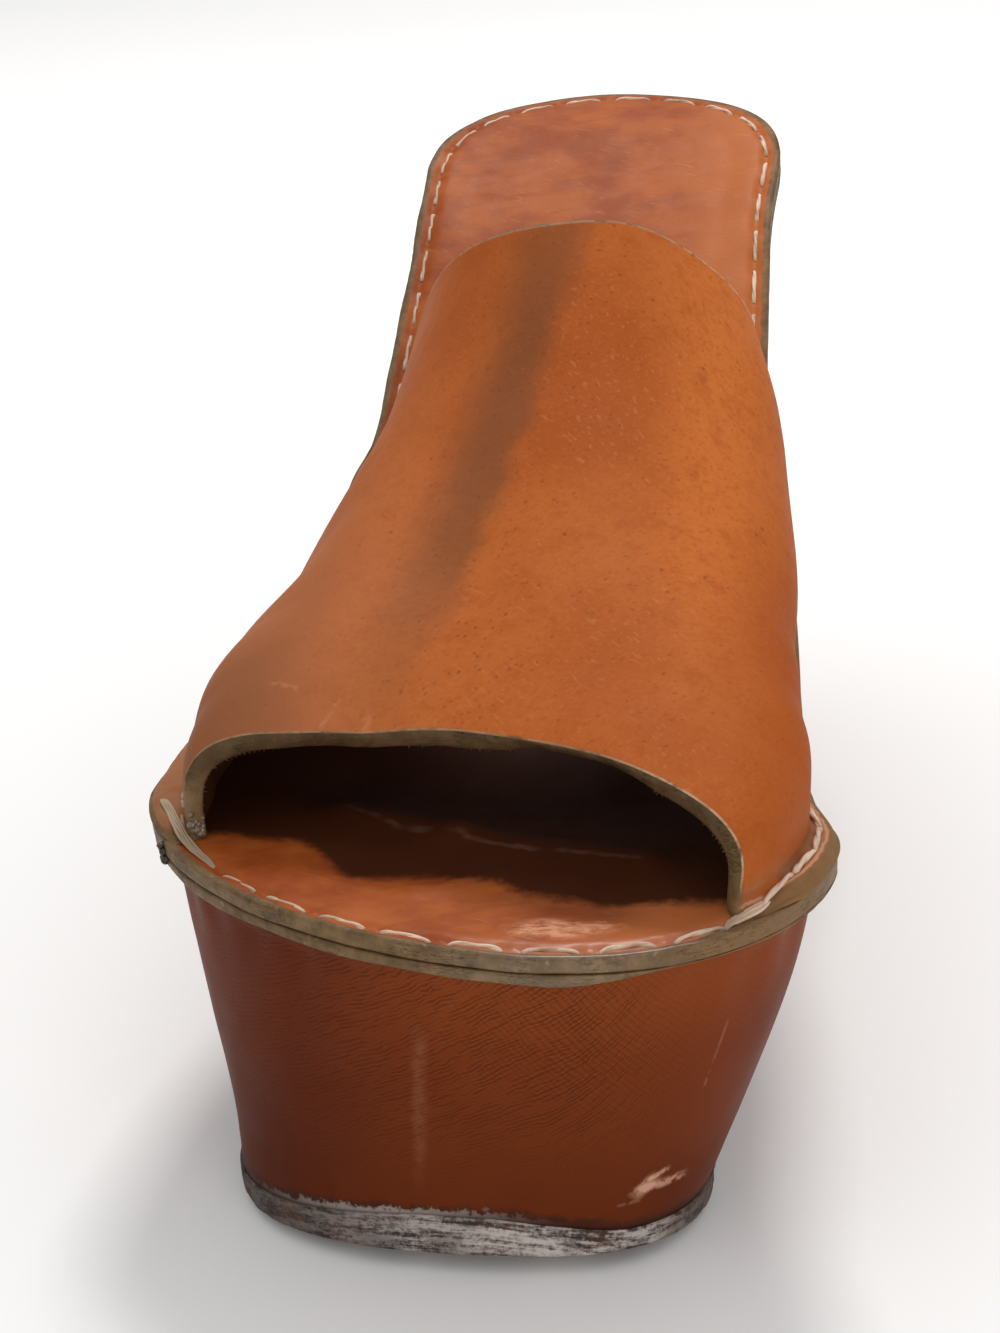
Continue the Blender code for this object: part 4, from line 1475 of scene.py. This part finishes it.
def distance_to_ends(grid):
    """Millimetres along the leather from each grid place to the nearer of its first and last row."""
    steps = np.linalg.norm(np.diff(grid, axis=0), axis=2)
    walk = np.concatenate((np.zeros((1, grid.shape[1])), np.cumsum(steps, axis=0)))
    return np.minimum(walk, walk[-1:] - walk)


def end_lap(columns):
    """Millimetres that edge paint laps over the ends of the turned-out edge: most at the rim."""
    return END_LAP * np.clip(1 - columns_from_side(columns) / (FLANGE_STEPS + 2), 0.0, 1.0)


def cut_edge(border):
    """Points of the strip that closes the cut edges, a few for each place of the border."""
    strip, normals = [], []
    for i, k, row_step, column_step in border:
        inner = INSIDE[i, k] - INSIDE[i - 2 * row_step, k - 2 * column_step]
        outward = inner / np.linalg.norm(inner)
        for share in EDGE_STEPS:
            swell = EDGE_SWELL * (1 - (2 * share - 1) ** 4)
            strip.append(INSIDE[i, k] * (1 - share) + OUTSIDE[i, k] * share + outward * swell)
            normals.append(NORMAL[i, k])
    strip = np.array(strip)
    uneven = sum(depth * noise_at(strip, grain, seed) for grain, depth, seed in EDGE_UNEVEN)
    return strip + np.array(normals) * uneven[:, None]


def cut_edge_faces(border, numbers):
    """Faces of that strip and their finish: painted at opening and collar, plain leather at the rim."""
    steps, count = len(EDGE_STEPS), numbers.size
    chains = []
    for number, (i, k, _, _) in enumerate(border):
        first = 2 * count + number * steps
        below = int(numbers[i, k])
        chains.append([below, *range(first, first + steps), below + count])
    faces, slots = [], []
    for near, far, (_, _, row_step, _) in zip(chains, chains[1:] + chains[:1], border):
        for step in range(steps + 1):
            faces.append([near[step], far[step], far[step + 1], near[step + 1]])
            slots.append(PAINT_SLOT if row_step else WALL_SLOT)
    return faces, slots


def make_upper():
    rows, columns = INSIDE.shape[:2]
    numbers = np.arange(rows * columns).reshape(rows, columns)
    inner, outer = grid_faces(numbers), grid_faces(numbers + numbers.size)
    border = border_of(rows, columns)
    edge_faces, edge_slots = cut_edge_faces(border, numbers)
    points = np.concatenate((INSIDE.reshape(-1, 3), OUTSIDE.reshape(-1, 3), cut_edge(border)))
    slots = [FLESH_SLOT] * len(inner) + [WALL_SLOT] * len(outer) + edge_slots
    opening = np.maximum(0.0, distance_to_ends(OUTSIDE) - end_lap(columns))
    rim = distance_to_ends(OUTSIDE.swapaxes(0, 1)).T
    marks = {}
    for name, values in (("opening_mm", opening), ("rim_mm", rim)):
        on_strip = np.repeat([values[i, k] for i, k, _, _ in border], len(EDGE_STEPS))
        marks[name] = np.concatenate((values.ravel(), values.ravel(), on_strip))
    finishes = [UPPER_FINISH, FLESH_FINISH, EDGE_FINISH]
    made = make_piece("upper_leather", points, inner + outer + edge_faces, finishes, slots, marks)
    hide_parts("upper")
    return made


upper = make_upper()

# %% [markdown]
# ## Thread
# A stitch is two strands twisted together that rise out of one hole and sink into the next. Each strand
# is a thin tube swept along a path. A curve object with a bevel could do this for one stitch, but
# hundreds of short curves are slow, so all tubes of a row are joined in one mesh.

# %% Twisted thread
STRAND_RADIUS, TWIST_RADIUS, TWIST_LENGTH = 0.29, 0.12, 8.0
STRAND_SIDES = 7
STITCH_STEPS = 22


def frames_along(path, up):
    """Two directions square to a path at each of its points."""
    run = np.gradient(path, axis=0)
    run /= np.linalg.norm(run, axis=1, keepdims=True)
    side = np.cross(run, up)
    side /= np.linalg.norm(side, axis=1, keepdims=True)
    return side, np.cross(side, run)


def tube(path, radius, up, sides=STRAND_SIDES):
    """Points and faces of a closed tube along a path; the radius may change along it."""
    side, rise = frames_along(path, up)
    angle = np.linspace(0.0, math.tau, sides, endpoint=False)[None, :, None]
    radius = np.broadcast_to(radius, len(path))[:, None, None]
    points = path[:, None] + radius * (side[:, None] * np.cos(angle) + rise[:, None] * np.sin(angle))
    faces = []
    for i in range(len(path) - 1):
        for k in range(sides):
            n = (k + 1) % sides
            faces.append([i * sides + k, i * sides + n, (i + 1) * sides + n, (i + 1) * sides + k])
    faces.append(list(range(sides)))
    faces.append([(len(path) - 1) * sides + k for k in range(sides)])
    return points.reshape(-1, 3), faces


def twisted(path, up, phase=0.0, gauge=1.0):
    """The two strands of a thread along a path."""
    side, rise = frames_along(path, up)
    turn = math.tau * walked(path) / TWIST_LENGTH + phase
    strands = []
    for start in (0.0, math.pi):
        angle = (turn + start)[:, None]
        offset = gauge * TWIST_RADIUS * (side * np.cos(angle) + rise * np.sin(angle))
        strands.append(tube(path + offset, gauge * STRAND_RADIUS, up))
    return strands


def stitch_path(start, end, up, lift, sink=0.6):
    """From hole to hole: out, over the leather and in again, square to it along `up`."""
    t = np.linspace(-1.0, 1.0, STITCH_STEPS)[:, None]
    height = lift - (lift + sink) * t ** 6
    return start + (end - start) * (t + 1) / 2 + np.asarray(up) * height


def joined(parts):
    points, faces, first = [], [], 0
    for part_points, part_faces in parts:
        points.append(part_points)
        faces += [[first + v for v in face] for face in part_faces]
        first += len(part_points)
    return np.concatenate(points), faces


def thread_piece(name, parts):
    points, faces = joined(parts)
    made = make_piece(name, points, faces, [THREAD_FINISH])
    return made


print("thread of two strands,", 2 * STRAND_RADIUS, "mm each")

# %% Stitches on the footbed
UP = np.array((0.0, 0.0, 1.0))
BED_STITCH_LIFTS = ((-30.0, 10.0), (-0.26, 0.12))
BED_TWIST_STEP = 1.7


def make_bed_stitches():
    strands = []
    for starts, ends in BED_STITCHES:
        for number, (start, end) in enumerate(zip(starts, ends)):
            holes = [in_frame(x, along, bed_top(x, along, BED_ROW_INSET)) for x, along in (start, end)]
            lift = np.interp(start[0], *BED_STITCH_LIFTS)
            strands += twisted(stitch_path(*holes, UP, lift), UP, BED_TWIST_STEP * number)
    return thread_piece("footbed_stitches", strands)


bed_stitches = make_bed_stitches()

# %% [markdown]
# ## Stitches in the fold of the upper
# The main seam lies in the angle between the upper's wall and its turned-out edge, so its path is read
# from the outside face of the upper itself. Under the lip the same thread comes out on the cover as long,
# flat stitches. Copies of one stitch along a curve would be quicker to set up, but each real one twists
# anew.

# %% Stitches round the upper and under the lip
SEAM_STITCHING = Stitching(7.0, 0.5)
SEAM_COLUMN = FLANGE_STEPS
SEAM_FIRST_ROW = 3
SEAM_GAUGE, SEAM_TWIST_STEP = 1.2, 2.1
SEAM_LIFT, SEAM_SINK = 0.28, 0.3
LIP_ROW_ANGLE = math.radians(25.0)
LIP_STITCH_SPAN = np.array((0.07, 0.93))
LIP_LIFT, LIP_SINK, LIP_TWIST_STEP = 0.05, 0.8, 1.3
LIP_FACING_DOWN = 0.9


def make_seam_stitches():
    strands = []
    for column in (SEAM_COLUMN, OUTSIDE.shape[1] - 1 - SEAM_COLUMN):
        path = OUTSIDE[SEAM_FIRST_ROW:-2, column]
        for number, (start, end) in enumerate(zip(*stitch_holes(path, SEAM_STITCHING))):
            path_over = stitch_path(start, end, UP, SEAM_LIFT, SEAM_SINK)
            strands += twisted(path_over, UP, SEAM_TWIST_STEP * number, SEAM_GAUGE)
    return thread_piece("upper_seam_stitches", strands)


def make_lip_stitches():
    loop = fillet_ring(LIP_ROW_ANGLE)
    path = np.concatenate((loop, loop[:1]))
    pitch = walked(path)[-1] / LIP_STITCHES
    strands = []
    for number in range(LIP_STITCHES):
        start, end = along_path(path, (LIP_STITCH_SPAN + number) * pitch)
        middle = (start + end) / 2
        nearest = int(np.argmin(np.linalg.norm(loop - middle, axis=1)))
        outward = np.append(-RIM_INWARD[nearest], -LIP_FACING_DOWN)
        outward /= np.linalg.norm(outward)
        run = end - start
        up = outward - run * (outward @ run) / (run @ run)
        up /= np.linalg.norm(up)
        path_over = stitch_path(start, end, up, LIP_LIFT, LIP_SINK)
        strands += twisted(path_over, up, LIP_TWIST_STEP * number)
    return thread_piece("lip_stitches", strands)


seam_stitches = make_seam_stitches()
lip_stitches = make_lip_stitches()

# %% [markdown]
# ## Tacks at the corners of the opening
# At each end of the toe opening a few strands are sewn over the cut end of the turned-out edge, from the
# footbed up to the seam, to keep the corner from lifting. Curves drawn by hand would float or sink, so
# the path is a smooth curve through a few points read from the pieces themselves.

# %% Corner tacks
Tack = namedtuple("Tack", "medial places tail_from tail_to width strands")
TACKS = (
    Tack(False, ((22, 6, -0.5), (11, 4, 0.2), (0, 0, 0.4)), 2.4, LATERAL_TAIL, 1.1, 4),
    Tack(True, ((5, 0, -0.3), (2, 0, 0.3)), 3.4, 5.2, 1.5, 5),
)
TACK_RADIUS, TACK_STEPS = 0.23, 50
TACK_LIFTS = (0.35, 0.25, -0.50)
TACK_WANDER, TACK_OVER = 0.12, 0.14


def curve_through(points, steps):
    """A smooth curve through points."""
    knots = np.array([2 * points[0] - points[1], *points, 2 * points[-1] - points[-2]])
    path = []
    for a, b, c, d in zip(knots, knots[1:], knots[2:], knots[3:]):
        t = np.linspace(0.0, 1.0, steps // (len(points) - 1), endpoint=False)[:, None]
        path.append(b + t * ((c - a) + t * ((2 * a - 5 * b + 4 * c - d) + t * (3 * b - a - 3 * c + d))) / 2)
    return np.concatenate((*path, [points[-1]]))


def tack_path(tack):
    """From the turned-out edge over its cut end to the footbed's row of stitches."""
    face, toe_row = (OUTSIDE[:, ::-1], TOE_ROW[::-1]) if tack.medial else (OUTSIDE, TOE_ROW)
    points = [face[row, SEAM_COLUMN - outwards] + UP * lift for row, outwards, lift in tack.places]
    tail = along_path(toe_row, np.linspace(tack.tail_from, tack.tail_to, len(TACK_LIFTS)))
    for (x, along), lift in zip(tail, TACK_LIFTS):
        points.append(in_frame(x, along, bed_top(x, along, BED_ROW_INSET) + lift))
    return curve_through(points, TACK_STEPS)


def make_tacks():
    strands = []
    for tack in TACKS:
        path = tack_path(tack)
        side, rise = frames_along(path, UP)
        share = walked(path) / walked(path)[-1]
        spread = np.sin(math.pi * np.clip(share, 0.02, 0.98)) ** 0.5
        for strand in range(tack.strands):
            wander = TACK_WANDER * noise_at(path, 2.0, 7.0 + strand)
            across = (tack.width * (strand / (tack.strands - 1) - 0.5) + wander) * spread
            over = TACK_OVER * noise_at(path, 3.0, 20.0 + strand)
            strand_path = path + side * across[:, None] + rise * over[:, None]
            strands.append(tube(strand_path, TACK_RADIUS * (0.5 + 0.5 * spread), UP))
    return thread_piece("corner_tacks", strands)


corner_tacks = make_tacks()

# %% [markdown]
# ## Fuzz, glue and lumps of paint
# Loose fibres stand out where the flesh side meets the cut edge of the opening, beads of glue have dried
# at its lateral corner, and edge paint has run together in lumps on the rim near by. All are tiny, but
# the eye looks for them at a cut edge. A particle system could scatter them too, but a fixed seed in
# plain code keeps each one in its place.

# %% Fibres, glue beads and paint lumps
FIBRES, FIBRE_TUFTS = 600, 14
FIBRE_LENGTHS, FIBRE_RADII = (0.08, 0.32), (0.05, 0.02)
FIBRE_POINTS, FIBRE_SIDES = 5, 4
FIBRE_UP = np.array((0.31, 0.55, 0.77))
GLUE_BEADS, GLUE_SIZES = 26, (0.24, 0.70)
PAINT_LUMPS, LUMP_SIZES = 20, (0.30, 0.62)
LUMPS_ALONG = 35.6


def make_fibres():
    random = np.random.default_rng(11)
    row = INSIDE[0]
    down = -NORMAL[0]
    margin = FLANGE_STEPS + FILLET_STEPS + 4
    first, last = margin, row.shape[0] - margin
    parts = []
    tufts = random.integers(first, last, FIBRE_TUFTS)
    for _ in range(FIBRES):
        k = int(np.clip(random.normal(random.choice(tufts), 2.5), first, last - 1))
        root = row[k] + (row[k] - INSIDE[2, k]) * 0.1 - down[k] * random.uniform(0.0, 0.5)
        lean = down[k] + random.normal(0.0, 0.6, 3)
        lean /= np.linalg.norm(lean)
        curl = random.normal(0.0, 0.45, 3)
        t = np.linspace(0.0, 1.0, FIBRE_POINTS)[:, None]
        path = root + random.uniform(*FIBRE_LENGTHS) * (lean * t + curl * t * t)
        parts.append(tube(path, np.linspace(*FIBRE_RADII, FIBRE_POINTS), FIBRE_UP, FIBRE_SIDES))
    points, faces = joined(parts)
    made = make_piece("edge_fibres", points, faces, [EDGE_FINISH])
    return made


def lumps_piece(name, spots, sizes, finish, random):
    """Small, squashed, uneven balls at a few spots."""
    mesh = bmesh.new()
    for spot in spots:
        squash = Matrix.Diagonal((*(random.uniform(0.6, 1.3, 3) * random.uniform(*sizes)), 1.0))
        shape = Matrix.Translation(spot) @ squash
        bmesh.ops.create_icosphere(mesh, subdivisions=2, radius=1.0, matrix=shape)
    points = np.array([vertex.co[:] for vertex in mesh.verts])
    mesh.verts.index_update()
    faces = [[vertex.index for vertex in face.verts] for face in mesh.faces]
    mesh.free()
    points += 0.08 * noise_at(points, 0.5)[:, None]
    made = make_piece(name, points, faces, [finish])
    return made


def make_glue():
    random = np.random.default_rng(4)
    spots = []
    for _ in range(GLUE_BEADS):
        k = FLANGE_STEPS + 4 + int(abs(random.normal(0.0, 3.0)))
        share = random.uniform(0.05, 0.75)
        outward = INSIDE[0, k] - INSIDE[2, k]
        outward /= np.linalg.norm(outward)
        spots.append(INSIDE[0, k] * (1 - share) + OUTSIDE[0, k] * share + outward * EDGE_SWELL * 0.6)
    return lumps_piece("glue_beads", spots, GLUE_SIZES, GLUE_FINISH, random)


def make_paint_lumps():
    random = np.random.default_rng(9)
    spots = []
    for _ in range(PAINT_LUMPS):
        x, along = rim_point(LATERAL, random.normal(LUMPS_ALONG, 0.8), random.uniform(-0.5, 0.1))
        spots.append(in_frame(x, along, bed_height(along) + random.uniform(-3.2, -0.6)))
    return lumps_piece("paint_lumps", spots, LUMP_SIZES, PAINT_FINISH, random)


fibres = make_fibres()
glue = make_glue()
paint_lumps = make_paint_lumps()

# %% [markdown]
# ## Floor and light
# A pale studio floor and soft lamps: a key above and behind the shoe, a low fill from the front right and
# a weak, cooler one from the left. Large lamps give leather its broad sheen, where small ones would dot
# it with highlights. The world is brighter overhead than at the horizon, as in a white room, and fills
# the shadows.

# %% Floor, lamps and world
FLOOR_SIZE, FLOOR_DROP = 4.0, 0.2
FLOOR_SHADES = (rgb(0.93, 0.93, 0.93), rgb(0.96, 0.96, 0.96))
Lamp = namedtuple("Lamp", "name place size power colour")
LAMPS = (
    Lamp("key", (0.05, 0.62, 1.02), 0.28, 6.5, (1.0, 0.98, 0.95)),
    Lamp("right_fill", (0.50, -0.95, 0.22), 0.5, 2.6, (1.0, 0.97, 0.93)),
    Lamp("left_fill", (-0.9, -0.50, 0.50), 0.8, 0.5, (0.92, 0.96, 1.0)),
)
LAMP_AIM = Vector((0.0, -0.02, 0.05))
HORIZON = rgb(0.30, 0.30, 0.30)
OVERHEAD = rgb(0.95, 0.95, 0.95)
WORLD_POWER = 0.80


def make_floor():
    half = FLOOR_SIZE / 2 / MM
    corners = [(x * half, y * half, -FLOOR_DROP) for x, y in ((-1, -1), (1, -1), (1, 1), (-1, 1))]
    material, tree, at = start_finish("floor_paper")
    shade = at.cloud(120.0, 3.0).blend(*FLOOR_SHADES)
    end_finish(material, tree, base_color=shade, roughness=0.9)
    data = bpy.data.meshes.new("floor")
    data.from_pydata([tuple(value * MM for value in corner) for corner in corners], [], [(0, 1, 2, 3)])
    data.materials.append(material)
    made = bpy.data.objects.new("floor", data)
    bpy.context.scene.collection.objects.link(made)


def make_lamps():
    for lamp in LAMPS:
        light = bpy.data.lights.new(lamp.name, "AREA")
        light.size = lamp.size
        light.energy = lamp.power
        light.color = lamp.colour
        made = bpy.data.objects.new(lamp.name, light)
        made.location = lamp.place
        made.rotation_euler = (LAMP_AIM - Vector(lamp.place)).to_track_quat("-Z", "Y").to_euler()
        bpy.context.scene.collection.objects.link(made)


def make_world():
    world = bpy.data.worlds.new("studio")
    world.use_nodes = True
    tree = Field(world.node_tree)
    height = tree.node("TexCoord", None, None, "Generated").parts()[2]
    background = world.node_tree.nodes["Background"]
    tree.feed(background.inputs["Color"], height.rise(0.0, 0.7).blend(HORIZON, OVERHEAD))
    background.inputs["Strength"].default_value = WORLD_POWER
    bpy.context.scene.world = world


make_floor()
make_lamps()
make_world()
bpy.context.scene.view_settings.view_transform = "Standard"
print("lamps:", [lamp.name for lamp in LAMPS])
